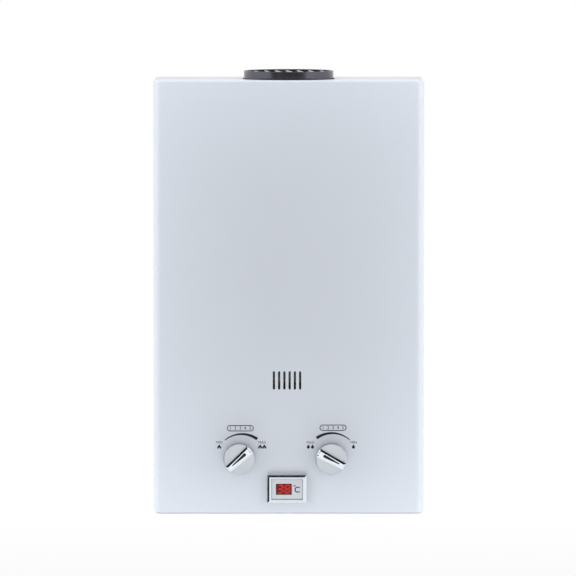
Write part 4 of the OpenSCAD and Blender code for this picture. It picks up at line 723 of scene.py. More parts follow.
# Looks: shade of the dark patches, roughness of the light and of the dark patches, patches and grains to
# a metre, depth of the grain in millimetres, and what else the pattern or the shader takes.
METAL = {"Metallic": 1.0}
SURFACES = {
    "panel_paint": (0.975, (0.36, 0.42), 9.0, 1500.0, 0.012,
                    {"contrast": 1.5, "Coat_Weight": 0.3, "Coat_Roughness": 0.22}),
    "zinc_sheet": (0.85, (0.30, 0.42), 12.0, 700.0, 0.01, {"Metallic": 0.9}),
    "tray_steel": (0.7, (0.40, 0.55), 30.0, 500.0, 0.02, {"Metallic": 0.7}),
    "screw_steel": (0.8, (0.22, 0.34), 220.0, 2500.0, 0.01, METAL),
    "flue_steel": (0.8, (0.18, 0.28), 40.0, 1600.0, 0.008, METAL),
    "copper": (0.8, (0.20, 0.36), 45.0, 900.0, 0.012, METAL),
    "brass": (0.78, (0.22, 0.36), 70.0, 1200.0, 0.012, METAL),
    "burner_steel": (0.85, (0.26, 0.4), 60.0, 600.0, 0.012, {"stretch": (1, 8, 8), **METAL}),
    "cast_alloy": (0.82, (0.42, 0.58), 55.0, 420.0, 0.07, {"Metallic": 0.85}),
    "black_plastic": (0.7, (0.38, 0.5), 80.0, 1400.0, 0.03, {"Specular_IOR_Level": 0.3}),
    "grey_plastic": (0.9, (0.42, 0.55), 60.0, 1300.0, 0.03, {}),
    "chrome_knob": (0.96, (0.28, 0.34), 90.0, 2200.0, 0.006, METAL),
    "bright_chrome": (0.97, (0.06, 0.10), 60.0, 900.0, 0.0015, METAL),
    "bezel_chrome": (0.97, (0.19, 0.25), 70.0, 900.0, 0.002, METAL),
    "display_face": (0.96, (0.3, 0.38), 70.0, 1800.0, 0.008, {"Metallic": 0.2}),
    "display_red": (0.92, (0.05, 0.09), 120.0, 900.0, 0.001, {"Transmission_Weight": 1.0, "IOR": 1.45}),
    "display_digits": (0.85, (0.3, 0.4), 260.0, 900.0, 0.002, {"Emission_Strength": 0.55}),
    "digit_reflector": (0.8, (0.45, 0.6), 90.0, 1400.0, 0.02, {}),
    "circuit_board": (0.7, (0.22, 0.3), 60.0, 900.0, 0.004, {}),
    "ceramic": (0.9, (0.16, 0.26), 150.0, 900.0, 0.01, {"Coat_Weight": 0.4}),
    "lead_red": (0.85, (0.4, 0.5), 120.0, 1500.0, 0.012, {}),
    "lead_grey": (0.8, (0.42, 0.54), 120.0, 1500.0, 0.012, {}),
    "rubber": (0.75, (0.6, 0.75), 120.0, 1100.0, 0.02, {}),
    "mica": (0.8, (0.08, 0.2), 90.0, 300.0, 0.01, {"Transmission_Weight": 0.4, "IOR": 1.58}),
    "cell_jacket": (0.85, (0.22, 0.3), 60.0, 900.0, 0.004, {}),
    "ink": (0.8, (0.42, 0.52), 300.0, 2500.0, 0.003, {"Specular_IOR_Level": 0.25}),
}
# Heights between which flames tint a metal, from cool to hot, and the tint.
HEAT_TINTS = {"copper": (0.10, -0.13, (0.19, 0.10, 0.08)),
              "burner_steel": (-0.150, -0.118, (0.30, 0.24, 0.34))}
# Painted shade along the cover's lower fold, standing in for the shade on the fold's bevel: heights above
# the foot where it starts and is full, its reach back from the front, and the shade.
PAINTED_SHADE_START, PAINTED_SHADE_FULL, PAINTED_SHADE_REACH, PAINTED_SHADE_FACTOR = 2.2 * MM, 1.1 * MM, 3 * MM, 0.48
FLAKE_SHADE, FLAKE_ROUGH = 0.80, (0.28, 0.44)
SOOT_SHADE = 0.8
TRACK_LEVEL, TRACK_SHADE = 0.56, 2.2


def paint_fold_shade(panel, tone):
    """Painted shade: a darker line along the lower fold of the cover's front, standing in for the shade on
    the fold's bevel.
    """
    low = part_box("front_cover")[0]
    place = panel.add("ShaderNodeSeparateXYZ", {"Vector": object_place(panel.tree)})
    fold = panel.add("ShaderNodeMapRange", {"Value": place.outputs["Z"], "From Min": low.z + PAINTED_SHADE_START,
                                            "From Max": low.z + PAINTED_SHADE_FULL})
    front = reckoned(panel.tree, "LESS_THAN", place.outputs["Y"], low.y + PAINTED_SHADE_REACH)
    # Mask of the painted shade line: along the fold, on the front only.
    line = reckoned(panel.tree, "MULTIPLY", fold.outputs["Result"], front)
    panel.tint(line, shade(tone, PAINTED_SHADE_FACTOR))


def make_finishes(tones):
    """Every finish of the heater, named as the record's slots or after its piece."""
    for effect in (make_mottle, make_grain, make_spangle, make_heat):
        effect()
    made = {}
    for name, (*look, more) in SURFACES.items():
        tone, factor = TONES.get(name, (name, 1))
        made[name] = surfaced(name, shade(getattr(tones, tone), factor), *look, **more)
    # Painted shade along the cover's lower fold.
    paint_fold_shade(made["panel_paint"], tones.panel_paint)
    zinc = made["zinc_sheet"]
    flakes = zinc.effect("Spangle", Scale=150.0).outputs
    zinc.feed("Base Color", zinc.blend(flakes["Mask"], shade(tones.zinc_sheet, FLAKE_SHADE), zinc.base()))
    zinc.feed("Roughness", zinc.spread(flakes["Height"], *FLAKE_ROUGH))
    flue = made["flue_steel"]
    soot = flue.effect("Mottle", Scale=18.0, Contrast=3.0).outputs["Mask"]
    flue.tint(soot, shade(tones.flue_steel, SOOT_SHADE))
    for name, (cool, hot, tone) in HEAT_TINTS.items():
        heat = made[name].effect("Heat", Cool_height=cool, Hot_height=hot).outputs["Mask"]
        made[name].tint(heat, tone)
    glow = made["display_digits"]
    glow.feed("Emission Color", glow.base())
    board = made["circuit_board"]
    grain = board.effect("Grain", Scale=140.0, Stretch=(1, 1, 6)).outputs["Height"]
    tracks = reckoned(board.tree, "GREATER_THAN", grain, TRACK_LEVEL)
    board.tint(tracks, shade(tones.circuit_board, TRACK_SHADE))


class HEATER_OT_finishes(bpy.types.Operator):
    """Makes the finishes and gives the frame's own pieces theirs"""
    bl_idname = "heater.finishes"
    bl_label = "Finishes"

    def execute(self, context):
        make_finishes(context.scene.heater_colours)
        for name, node in frame["nodes"].items():
            coat(node, FINISH_OF[name])
        return {"FINISHED"}


# Cover

PUNCH_ROUND = 0.49         # rounding of a punch's corners, as a share of its width
PUNCH_STEPS, EDGE_STEPS, FOLD_STEPS = 6, 12, 5


def punch(name, long, wide, depth, flare):
    """Slot-shaped punch along Z, whose mouth at z = 0 is drawn open by the flare."""
    tool = cuboid(name, (-wide / 2, -long / 2, -depth), (wide / 2, long / 2, -flare))
    with editing(tool):
        pick("EDGE", lambda e: runs_along(e, Z_AXIS))
        bevelled(PUNCH_ROUND * wide, PUNCH_STEPS)
        pick("FACE", lambda f: f.normal.z > FACING)
        extruded((0, 0, 2 * flare))
        open_w, open_l = wide + 4 * flare, long + 4 * flare
        bpy.ops.transform.resize(value=(open_w / wide, open_l / long, 1), center_override=(0, 0, flare))
    return tool


def drill(name, radius, low, high, turn=(0, 0, 0), steps=HOLE_ROUND):
    """Straight round cutter from one end point to the other along the turned Z axis."""
    span = (Vector(high) - Vector(low)).length
    tool = started(name, bpy.ops.mesh.primitive_cylinder_add, radius=radius, depth=span, vertices=steps)
    return settled(tool, (Vector(low) + Vector(high)) / 2, turn)


def folded_sheet(sizes, low, high):
    """Sheet box with rounded front edges, open at the back."""
    cover = cuboid("front_cover_sheet", low, high)
    with editing(cover):
        pick("EDGE", lambda e: runs_along(e, Z_AXIS) and ends_at(e, Y_AXIS, low.y))
        bevelled(sizes.edge_radius, EDGE_STEPS)
        pick("EDGE", lambda e: (ends_at(e, Z_AXIS, low.z) or ends_at(e, Z_AXIS, high.z))
             and not ends_at(e, Y_AXIS, high.y))
        bevelled(sizes.fold_radius, FOLD_STEPS)
        pick("FACE", lambda f: f.normal.y > FACING)
        bpy.ops.mesh.delete(type="FACE")
    return modified(cover, "SOLIDIFY", thickness=sizes.sheet, offset=-1, use_even_offset=True)


def cover_cutters(sizes, low, high):
    """Everything that is punched out of the cover, as one mesh."""
    deep = 4 * sizes.sheet     # the cutters reach well through the sheet
    front, side = low.y, high.x
    axes = [middle("temperature_knob"), middle("water_knob")]
    display = middle("display_bezel")
    flue = middle("flue_guard")
    tools = [drill("knob_hole", sizes.knob_hole, (axis.x, front - deep, axis.z),
                   (axis.x, front + deep, axis.z), TO_FRONT) for axis in axes]
    tools.append(drill("flue_hole", sizes.flue_hole, (flue.x, flue.y, high.z - deep),
                       (flue.x, flue.y, high.z + deep), steps=LARGE_ROUND))
    half = Vector((sizes.barrel, 0, sizes.barrel_h)) / 2
    tools.append(cuboid("display_hole", (display.x - half.x, front - deep, display.z - half.z),
                        (display.x + half.x, front + deep, display.z + half.z)))
    inner = side - sizes.sheet - sizes.lip
    tools.append(cuboid("bottom_hole", (-inner, front + sizes.sheet + sizes.lip, low.z - deep),
                        (inner, high.y + deep, low.z + sizes.sheet + sizes.fold_radius / 2)))
    screws_low, screws_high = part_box("cover_screws")
    screw_r = (screws_high.y - screws_low.y) / 2
    for x in (screws_low.x + screw_r, screws_high.x - screw_r):
        place = Vector((x, (screws_low.y + screws_high.y) / 2, low.z))
        rise = Vector((0, 0, 2 * sizes.sheet))
        tools.append(drill("screw_hole", sizes.screw_hole, place - rise, place + rise, steps=SCREW_ROUND))
    sight = punch("sight_slot", sizes.sight_l, sizes.sight_w, deep, sizes.flare)
    first = display.x - (sizes.sight_slots - 1) * sizes.sight_pitch / 2
    settled(sight, (first, front, sizes.sight_z), TO_FRONT)
    tools.append(repeated(sight, sizes.sight_slots, (sizes.sight_pitch, 0, 0)))
    for sign in (-1, 1):
        air = punch("air_slot", sizes.air_l, sizes.air_w, deep, sizes.flare)
        settled(air, (sign * side, flue.y, sizes.air_z), (0, sign * math.radians(90), 0))
        tools.append(repeated(air, sizes.air_slots, (0, 0, sizes.air_pitch)))
    return tidy_mesh(joined(tools, "cover_cutters"))


class HEATER_OT_cover(bpy.types.Operator):
    """Folds the sheet cover and punches its holes and slots"""
    bl_idname = "heater.cover"
    bl_label = "Front cover"

    def execute(self, context):
        sizes = context.scene.heater_cover
        low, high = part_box("front_cover")
        cover = combined(folded_sheet(sizes, low, high), cover_cutters(sizes, low, high), "DIFFERENCE")
        dressed(smoothed(cover), HEATER, "panel_paint", "panel_paint", "front_cover")
        return {"FINISHED"}


# Flue

BEAD_SPAN, BEAD_STEPS, CORNER_STEPS = 80, 8, 8
SCREW_HOLE = 1.8 * MM
SCREW_HEAD = 2 * SCREW_HOLE
BLADE_REACH = 1.5          # half of a blade's height, as a share of the guard's
BLADE_FOOT, BLADE_TOP = 0.2 * MM, 0.4 * MM     # how far the blades stay inside the guard's ends
GUARD_SOFT = 0.3 * MM


class HEATER_OT_flue(bpy.types.Operator):
    """Turns the flue collar with its flange and beads, and builds the bladed guard in it"""
    bl_idname = "heater.flue"
    bl_label = "Flue"

    def execute(self, context):
        sizes = context.scene.heater_flue
        self.build_collar(sizes)
        self.build_guard(sizes)
        return {"FINISHED"}

    def build_collar(self, sizes):
        """Collar with a rolled rim, a stop bead and a flange with screw holes."""
        low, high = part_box("flue_collar")
        place = middle("flue_guard")
        guard_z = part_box("flue_guard")[0].z
        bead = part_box("front_cover")[1].z + sizes.bead_lift
        out, inner = sizes.ring, sizes.ring - sizes.wall
        bore = inner - sizes.ledge
        bead_r = sizes.bead_h / 2
        roll = sizes.wall / 2
        profile = [(bore, low.z), (out, low.z), (out, bead)]
        profile += [(out + (r - out) * sizes.bead / bead_r, z)
                    for r, z in arc((out, bead + bead_r), bead_r, -BEAD_SPAN, BEAD_SPAN, BEAD_STEPS)]
        profile += [(out, bead + sizes.bead_h)]
        profile += arc((out - roll, high.z - roll), roll, 0, 180, BEAD_STEPS)
        profile += [(inner, guard_z), (bore, guard_z - sizes.ledge)]
        collar = turned("flue_collar_ring", profile, steps=LARGE_ROUND, closed=True)
        settled(collar, (place.x, place.y, 0))
        flange = cuboid("flange", low, (high.x, high.y, low.z + sizes.flange_t))
        with editing(flange):
            pick("EDGE", lambda e: runs_along(e, Z_AXIS))
            bevelled(sizes.flange_r, CORNER_STEPS)
        tools = [drill("bore", bore + sizes.wall / 2, (place.x, place.y, low.z - OVERCUT),
                       (place.x, place.y, low.z + 2 * sizes.flange_t), steps=LARGE_ROUND)]
        screws_low, screws_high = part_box("flue_screws")
        for x in (screws_low.x + SCREW_HEAD, screws_high.x - SCREW_HEAD):
            for y in (screws_low.y + SCREW_HEAD, screws_high.y - SCREW_HEAD):
                tools.append(drill("screw", SCREW_HOLE, (x, y, low.z - OVERCUT),
                                   (x, y, low.z + 2 * sizes.flange_t), steps=SCREW_ROUND))
        combined(flange, tidy_mesh(joined(tools, "flange_cutters")), "DIFFERENCE")
        combined(collar, flange, "UNION")
        dressed(smoothed(collar), HEATER, "flue_steel", "flue_steel", "flue_collar")

    def build_guard(self, sizes):
        """Ring with leaning blades across it."""
        low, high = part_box("flue_guard")
        place = (low + high) / 2
        radius = (high.x - low.x) / 2
        height = high.z - low.z
        ring = turned("flue_guard_blades", [
            (radius - sizes.guard_wall, low.z), (radius, low.z), (radius, high.z),
            (radius - sizes.guard_wall, high.z)], steps=LARGE_ROUND, closed=True)
        blade = cuboid("blade", (-sizes.blade_t / 2, -radius, -BLADE_REACH * height),
                       (sizes.blade_t / 2, radius, BLADE_REACH * height))
        settled(blade, (-(sizes.blades - 1) * sizes.pitch / 2, 0, low.z + height / 2), (0, sizes.lean, 0))
        repeated(blade, sizes.blades, (sizes.pitch, 0, 0))
        settled(blade, (0, 0, 0), (0, 0, sizes.turn))
        trim = turned("trim", [(radius - sizes.guard_wall / 2, low.z + BLADE_FOOT),
                               (radius - sizes.guard_wall / 2, high.z - BLADE_TOP)], steps=LARGE_ROUND)
        combined(blade, trim, "INTERSECT")
        combined(ring, blade, "UNION")
        softened(ring, GUARD_SOFT, steps=2, limit=40)
        settled(ring, (place.x, place.y, 0))
        dressed(smoothed(ring), HEATER, "flue_steel", "flue_steel", "flue_guard")


# Knobs

FOOT_CHAMFER = 0.6 * MM
DISH_RIM, DISH_EDGE, DISH_MIDDLE = 0.86, 0.82, 0.02     # radii of the dish, as shares of the knob's
RIM_FALL = 0.15            # how far the dish has fallen at its rim, as a share of its depth
SPINDLE_BORE, SPINDLE_DEPTH = 4.05 * MM, 12.5 * MM
RIM_STEPS, END_STEPS, WIDE_STEPS, NARROW_STEPS = 8, 10, 20, 12


def drop_outline(sizes, play):
    """Outline of the pointer inlay: a drop with its wide end at the pointing end."""
    wide, narrow = sizes.pointer_wide + play, sizes.pointer_narrow + play
    high = (0, sizes.pointer_reach - sizes.pointer_wide)
    low = (0, -sizes.pointer_reach + sizes.pointer_narrow)
    return arc(high, wide, 0, 180, WIDE_STEPS) + arc(low, narrow, 180, 360, NARROW_STEPS)


class HEATER_OT_knobs(bpy.types.Operator):
    """Turns the two knobs and gives each its chromed grip"""
    bl_idname = "heater.knobs"
    bl_label = "Knobs"

    def execute(self, context):
        sizes = context.scene.heater_knobs
        self.build_knob(sizes, "temperature", sizes.temperature)
        self.build_knob(sizes, "water", sizes.water)
        return {"FINISHED"}

    def build_knob(self, sizes, name, turn):
        """Satin disc with a bright grip across it, and a recess for the pointer inlay."""
        low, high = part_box(f"{name}_knob")
        radius = (high.x - low.x) / 2
        height = high.y - low.y
        edge, top = sizes.edge_r, sizes.disc_h
        profile = [(radius - FOOT_CHAMFER, 0), (radius, FOOT_CHAMFER)]
        profile += arc((radius - edge, top - edge), edge, 0, 90, RIM_STEPS)
        profile += [(DISH_RIM * radius, top - RIM_FALL * sizes.dish),
                    (DISH_EDGE * radius, top - sizes.dish), (DISH_MIDDLE * radius, top - sizes.dish)]
        knob = turned(f"{name}_knob_body", profile)
        coat(knob, "chrome_knob")
        grip = self.build_grip(sizes, radius, height)
        recess = drawn("recess", [drop_outline(sizes, sizes.play)], 2 * sizes.pointer_t, (0, 0, height),
                       turn=(0, 0, 0))
        combined(grip, tidy_mesh(recess), "DIFFERENCE")
        coat(grip, "bright_chrome")
        settled(grip, (0, 0, 0), (0, 0, turn))
        combined(knob, grip, "UNION")
        combined(knob, drill("bore", SPINDLE_BORE, (0, 0, -OVERCUT), (0, 0, SPINDLE_DEPTH)), "DIFFERENCE")
        centre = (low + high) / 2
        settled(knob, (centre.x, high.y, centre.z), TO_FRONT)
        dressed(smoothed(knob), f"{name}_control", "chrome_knob", None, f"{name}_knob")

    def build_grip(self, sizes, radius, height):
        """Bar that tapers to its tail, with drafted flanks, bevelled top edges and round ends."""
        half = sizes.grip_wide / 2
        grip = cuboid("grip", (-half, -radius, 0.5 * sizes.disc_h), (half, radius, sizes.disc_h))
        with editing(grip):
            for rise, inward in ((height - sizes.slope - sizes.disc_h, sizes.draft),
                                 (sizes.slope, sizes.bevel)):
                pick("FACE", lambda f: f.normal.z > FACING)
                extruded((0, 0, rise))
                bpy.ops.transform.resize(value=((half - inward) / half, 1, 1), center_override=(0, 0, 0))
                half -= inward
            thinner = (sizes.grip_wide - sizes.grip_narrow) / 2
            for side in (-1, 1):
                pick("VERT", lambda v: v.co.y < 0 and side * v.co.x > 0)
                bpy.ops.transform.translate(value=(-side * thinner, 0, 0))
        end = sizes.end_r
        reach = radius - sizes.tuck
        profile = [(reach, 0)] + arc((reach - end, height - end), end, 0, 90, END_STEPS)
        combined(grip, turned("ends", profile), "INTERSECT")
        return softened(grip, sizes.soft, limit=25)


# Display

SEGMENTS = {"0": "abcdef", "1": "bc", "2": "abged", "3": "abgcd", "4": "fgbc", "5": "afgcd",
            "6": "afgedc", "7": "abc", "8": "abcdefg", "9": "abcdfg"}
PLAY = 0.15 * MM           # play round the panel and round its window
WINDOW_SOFT, REFLECTOR_SOFT = 0.15 * MM, 0.03 * MM
# Thickness of the reflector and of the lit film, and the film's place in front of the board.
REFLECTOR, DIGIT_FILM, DIGIT_LIFT = 0.09 * MM, 0.06 * MM, 0.12 * MM
RING_END, RING_STEPS = 345, 23         # last angle of the degree ring's points, and steps up to it


def segment_outline(start, end, width, gap):
    """Six-sided bar between two corners of a digit."""
    start, end = Vector(start), Vector(end)
    along = (end - start).normalized()
    across = Vector((-along.y, along.x)) * width / 2
    tip = width / 2
    start, end = start + along * gap, end - along * gap
    return [start, start + along * tip + across, end - along * tip + across, end,
            end - along * tip - across, start + along * tip - across]


def digit_outlines(sizes, digit, x):
    """Lit bars of one digit whose middle is at x."""
    w, h = (sizes.digit_w - sizes.segment) / 2, (sizes.digit_h - sizes.segment) / 2
    corners = {"a": ((-w, h), (w, h)), "b": ((w, h), (w, 0)), "c": ((w, 0), (w, -h)),
               "d": ((-w, -h), (w, -h)), "e": ((-w, 0), (-w, -h)), "f": ((-w, h), (-w, 0)),
               "g": ((-w, 0), (w, 0))}
    slope = math.tan(sizes.lean)
    bars = [segment_outline(*corners[bar], sizes.segment, sizes.segment_gap) for bar in SEGMENTS[digit]]
    return [[(x + p.x + slope * p.y, p.y) for p in bar] for bar in bars]


class HEATER_OT_display(bpy.types.Operator):
    """Builds the display's bezel, panel, tinted window and lit digits"""
    bl_idname = "heater.display"
    bl_label = "Display"

    def execute(self, context):
        sizes = context.scene.heater_display
        self.build_bezel(sizes)
        self.build_panel(sizes)
        self.build_window(sizes)
        return {"FINISHED"}

    def build_bezel(self, sizes):
        """Chromed frame with bevelled sides and a barrel that reaches through the cover."""
        low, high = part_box("display_bezel")
        panel_low, panel_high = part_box("display_panel")
        foot = low.y + sizes.rise
        bezel = cuboid("display_bezel_frame", (low.x, low.y + sizes.slope, low.z), (high.x, foot, high.z))
        centre = (low + high) / 2
        with editing(bezel):
            pick("FACE", lambda f: f.normal.y < -FACING)
            extruded((0, -sizes.slope, 0))
            grow_x, grow_z = (1 - 2 * sizes.bevel / span for span in (high.x - low.x, high.z - low.z))
            bpy.ops.transform.resize(value=(grow_x, 1, grow_z), center_override=centre)
        wall = Vector((sizes.barrel_wall, 0, sizes.barrel_wall))
        barrel = cuboid("barrel", panel_low - wall, panel_high + wall)
        with editing(barrel):
            pick("FACE", lambda f: f.normal.y > FACING)
            bpy.ops.transform.translate(value=(0, high.y - panel_high.y, 0))
        combined(bezel, barrel, "UNION")
        play = Vector((PLAY, 0, PLAY))
        pocket = cuboid("pocket", panel_low - play - Vector((0, 3 * OVERCUT, 0)), panel_high + play)
        combined(bezel, pocket, "DIFFERENCE")
        ledge = Vector((sizes.ledge, 0, sizes.ledge))
        through = cuboid("through", panel_low + ledge - Vector((0, OVERCUT, 0)),
                         panel_high - ledge + Vector((0, high.y - panel_high.y + OVERCUT, 0)))
        combined(bezel, through, "DIFFERENCE")
        softened(bezel, sizes.soft, limit=25)
        dressed(smoothed(bezel), HEATER, "chrome_knob", "bezel_chrome", "display_bezel")

    def build_panel(self, sizes):
        """Grey face with rounded edges round the window, and its printed unit sign."""
        low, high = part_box("display_panel")
        lens_low, lens_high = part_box("display_lens")
        panel = cuboid("display_face_panel", low, high)
        play = Vector((PLAY, 3 * OVERCUT, PLAY))
        combined(panel, cuboid("window_hole", lens_low - play, lens_high + play), "DIFFERENCE")
        softened(panel, sizes.panel_soft, limit=40)
        dressed(smoothed(panel), HEATER, "display_face", "display_face", "display_panel")
        front = low.y - sizes.sign_film / 2
        letter = lettered("letter", "C", sizes.sign_h, sizes.sign_film, (sizes.sign_x, front, sizes.sign_z),
                          sizes.sign_bold)
        rings = [arc((0, 0), r, 0, RING_END, RING_STEPS)
                 for r in (sizes.degree_r, sizes.degree_r - sizes.degree_line)]
        degree = drawn("degree", rings, sizes.sign_film, (sizes.degree_x, front, sizes.degree_z))
        unit = tidy_mesh(joined([letter, degree], "display_unit_sign"))
        dressed(unit, HEATER, "display_face", "ink")

    def build_window(self, sizes):
        """Tinted window over two lit digits on a dull reflector."""
        low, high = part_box("display_lens")
        window = cuboid("display_window", low, (high.x, low.y + sizes.window, high.z))
        softened(window, WINDOW_SOFT, steps=2, limit=40)
        dressed(smoothed(window), HEATER, "display_red", "display_red", "display_lens")
        outlines = []
        for i, digit in enumerate(sizes.reading):
            outlines += digit_outlines(sizes, digit, (i - (len(sizes.reading) - 1) / 2) * sizes.digit_pitch)
        place = ((low.x + high.x) / 2, high.y - DIGIT_LIFT, (low.z + high.z) / 2)
        digits = tidy_mesh(drawn("display_digits_lit", outlines, DIGIT_FILM, place))
        dressed(digits, HEATER, "display_red", "display_digits")
        reflector = cuboid("display_reflector", (low.x, high.y - REFLECTOR, low.z), high)
        softened(reflector, REFLECTOR_SOFT, steps=2, limit=40)
        dressed(smoothed(reflector), HEATER, "black_plastic", "digit_reflector")


# Pipe stubs

# Turn of a hexagon's flats and slope of its turned-off corners.
NUT_TURN, NUT_SLOPE = math.radians(30), math.radians(30)
# Cone that turns the corners off: its widest radius as a share of the corner's, its radius at the nut's
# ends as a share of the width, and how far it reaches past them.
NUT_REACH, NUT_FLAT, NUT_OVER = 1.02, 0.49, 0.4 * MM
ROOT_END, CREST_START, CREST_END = 0.12, 0.5, 0.62     # places along a thread's pitch
SPARE_TURNS, THREAD_STEPS = 2, 48
THREAD_SPARE, THREAD_LAP, TIP_FALL = 0.3 * MM, 0.2 * MM, 0.1 * MM


def hexagon(name, across, low, high):
    """Hexagon round Z between two heights, its corners turned off at both ends."""
    corner = across / math.sqrt(3)
    nut = started(name, bpy.ops.mesh.primitive_cylinder_add, vertices=6, radius=corner, depth=high - low)
    settled(nut, (0, 0, (low + high) / 2), (0, 0, NUT_TURN))
    wide, flat = NUT_REACH * corner, NUT_FLAT * across
    fall = math.tan(NUT_SLOPE)
    rise = (wide - flat) * fall
    tip = flat - NUT_OVER / fall
    trim = turned("trim", [(tip, low - NUT_OVER), (wide, low + rise), (wide, high - rise),
                           (tip, high + NUT_OVER)])
    return combined(nut, trim, "INTERSECT")


def threaded(sizes, low, high):
    """Rod round Z with a pipe thread between two heights, chamfered at its low end."""
    pitch, crest = sizes.pitch, sizes.thread_r
    root = crest - sizes.depth
    rod = started("thread", bpy.ops.mesh.primitive_plane_add, size=MM)
    start = low - SPARE_TURNS * pitch
    teeth = math.ceil((high - low) / pitch) + 2 * SPARE_TURNS
    tooth = ((root, 0), (root, ROOT_END), (crest, CREST_START), (crest, CREST_END))
    points = [Vector((r, 0, start + (i + part) * pitch)) for i in range(teeth) for r, part in tooth]
    with editing(rod):
        bpy.ops.mesh.select_mode(type="VERT")
        bpy.ops.mesh.select_all(action="SELECT")
        bpy.ops.mesh.merge(type="CENTER")
        bpy.ops.transform.translate(value=points[0])
        for last, point in zip(points, points[1:]):
            bpy.ops.mesh.extrude_vertices_move(TRANSFORM_OT_translate={"value": point - last})
    modified(rod, "SCREW", axis="Z", angle=math.tau, screw_offset=pitch, steps=THREAD_STEPS,
             render_steps=THREAD_STEPS)
    tidy_mesh(rod)
    with editing(rod):
        for height, ends in ((low - THREAD_SPARE, {"clear_inner": True}),
                             (high + THREAD_SPARE, {"clear_outer": True})):
            bpy.ops.mesh.select_all(action="SELECT")
            bpy.ops.mesh.bisect(plane_co=(0, 0, height), plane_no=(0, 0, 1), use_fill=True, **ends)
    tidy_mesh(rod)
    wide = crest + sizes.depth
    trim = turned("trim", [(root - TIP_FALL, low), (wide, low + sizes.lead * (wide - root) / sizes.depth),
                           (wide, high)])
    return combined(rod, trim, "INTERSECT")


class HEATER_OT_pipes(bpy.types.Operator):
    """Cuts the threads of the three pipe stubs and chamfers their nuts"""
    bl_idname = "heater.pipes"
    bl_label = "Pipe stubs"

    def execute(self, context):
        sizes = context.scene.heater_pipes
        nut_low, nut_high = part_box("lock_nuts")
        nuts = []
        for name in ("hot_outlet", "gas_inlet", "cold_inlet"):
            axis = middle(f"{name}_nipple")
            self.build_stub(sizes, name, axis, nut_low.z, nut_high.z)
            nut = hexagon("nut", sizes.across, nut_low.z, nut_high.z)
            combined(nut, drill("bore", sizes.thread_r + sizes.nut_play, (0, 0, nut_low.z - OVERCUT),
                                (0, 0, nut_high.z + OVERCUT), steps=ROUND), "DIFFERENCE")
            nuts.append(settled(nut, (axis.x, axis.y, 0)))
        dressed(smoothed(joined(nuts, "lock_nuts_set")), HEATER, "brass", "brass", "lock_nuts")
        return {"FINISHED"}

    def build_stub(self, sizes, name, axis, nut_z, shelf_z):
        """Threaded end, groove, neck and hexagonal collar with a bore right through."""
        low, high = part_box(f"{name}_nipple")
        groove = nut_z - sizes.relief_w
        stub = threaded(sizes, low.z, groove + THREAD_LAP)
        slim = sizes.thread_r - sizes.relief
        neck = turned("neck", [(slim, groove - OVERCUT), (slim, nut_z), (sizes.thread_r, nut_z),
                               (sizes.thread_r, high.z)])
        collar_z = shelf_z + sizes.shelf
        combined(neck, hexagon("collar", sizes.across, collar_z, collar_z + sizes.collar_h), "UNION")
        combined(stub, neck, "UNION")
        combined(stub, drill("bore", sizes.bore, (0, 0, low.z - OVERCUT), (0, 0, high.z + OVERCUT),
                             steps=BORE_ROUND), "DIFFERENCE")
        stub.name = f"{name}_stub"
        stub.data.name = stub.name
        settled(stub, (axis.x, axis.y, 0))
        dressed(smoothed(stub), HEATER, "brass", "brass", f"{name}_nipple")


# Return spring

WIRE_SIDES, COIL_STEPS = 14, 32


class HEATER_OT_spring(bpy.types.Operator):
    """Winds the spring round the push rod at its rest length; it is not made to shorten as the rod is pushed
    """
    bl_idname = "heater.spring"
    bl_label = "Return spring"

    def execute(self, context):
        sizes = context.scene.heater_spring
        low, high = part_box("return_spring")
        length_x = high.x - low.x
        wire_r = sizes.wire / 2
        spring = started("return_spring_coil", bpy.ops.mesh.primitive_circle_add, vertices=WIRE_SIDES,
                         radius=wire_r, fill_type="NOTHING", location=(low.x + wire_r, sizes.coil_d / 2, 0))
        settled(spring, spring.location)
        modified(spring, "SCREW", axis="X", angle=math.tau, iterations=sizes.curls, steps=COIL_STEPS,
                 render_steps=COIL_STEPS, screw_offset=(length_x - sizes.wire) / sizes.curls)
        with editing(spring):
            bpy.ops.mesh.select_all(action="SELECT")
            bpy.ops.mesh.fill_holes(sides=0)
        tidy_mesh(spring)
        place = middle("return_spring")
        settled(spring, (0, place.y, place.z))
        dressed(smoothed(spring), HEATER, "screw_steel", "screw_steel", "return_spring")
        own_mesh(spring)
        return {"FINISHED"}


# Printed marks

ARC_ENDS = {"temperature": (130, 54), "water": (48, 126)}     # degrees of an arc's thin and thick end
WEDGE_STEPS, PILL_STEPS, DROP_STEPS = 40, 16, 20
FLAME_HALF = [(0.0, 0.5), (0.11, 0.32), (0.26, 0.14), (0.41, -0.06), (0.49, -0.26), (0.46, -0.42),
              (0.38, -0.50), (0.13, -0.50), (0.14, -0.40), (0.10, -0.29), (0.0, -0.20)]
# Drop, as shares of its height: radius, and a flank's place; and the angle where its round part ends.
DROP_ROUND, DROP_FLANK_X, DROP_FLANK_Z, DROP_OPEN = 0.35, 0.12, 0.27, 35


def pill_outline(w, h):
    """Long outline with round ends."""
    r = h / 2
    return arc((w / 2 - r, 0), r, -90, 90, PILL_STEPS) + arc((-w / 2 + r, 0), r, 90, 270, PILL_STEPS)


def moved(outline, x, z):
    """Outline at another place."""
    return [(a + x, b + z) for a, b in outline]


def wedge_outline(sizes, start, end):
    """Arc over a knob that grows from its thin end to its thick end."""
    outer, inner = [], []
    for i in range(WEDGE_STEPS + 1):
        turn = math.radians(start + (end - start) * i / WEDGE_STEPS)
        half = (sizes.arc_thin + (sizes.arc_thick - sizes.arc_thin) * i / WEDGE_STEPS) / 2
        way = Vector((math.cos(turn), math.sin(turn)))
        outer.append(way * (sizes.arc_r + half))
        inner.append(way * (sizes.arc_r - half))
    return [(p.x, p.y) for p in outer + inner[::-1]]


def flame_outline(h, x, z):
    """Plain flame: a pointed drop with a notch at its foot."""
    other_half = [(-a, b) for a, b in FLAME_HALF[-2:0:-1]]
    return [(x + a * h, z + b * h) for a, b in FLAME_HALF + other_half]


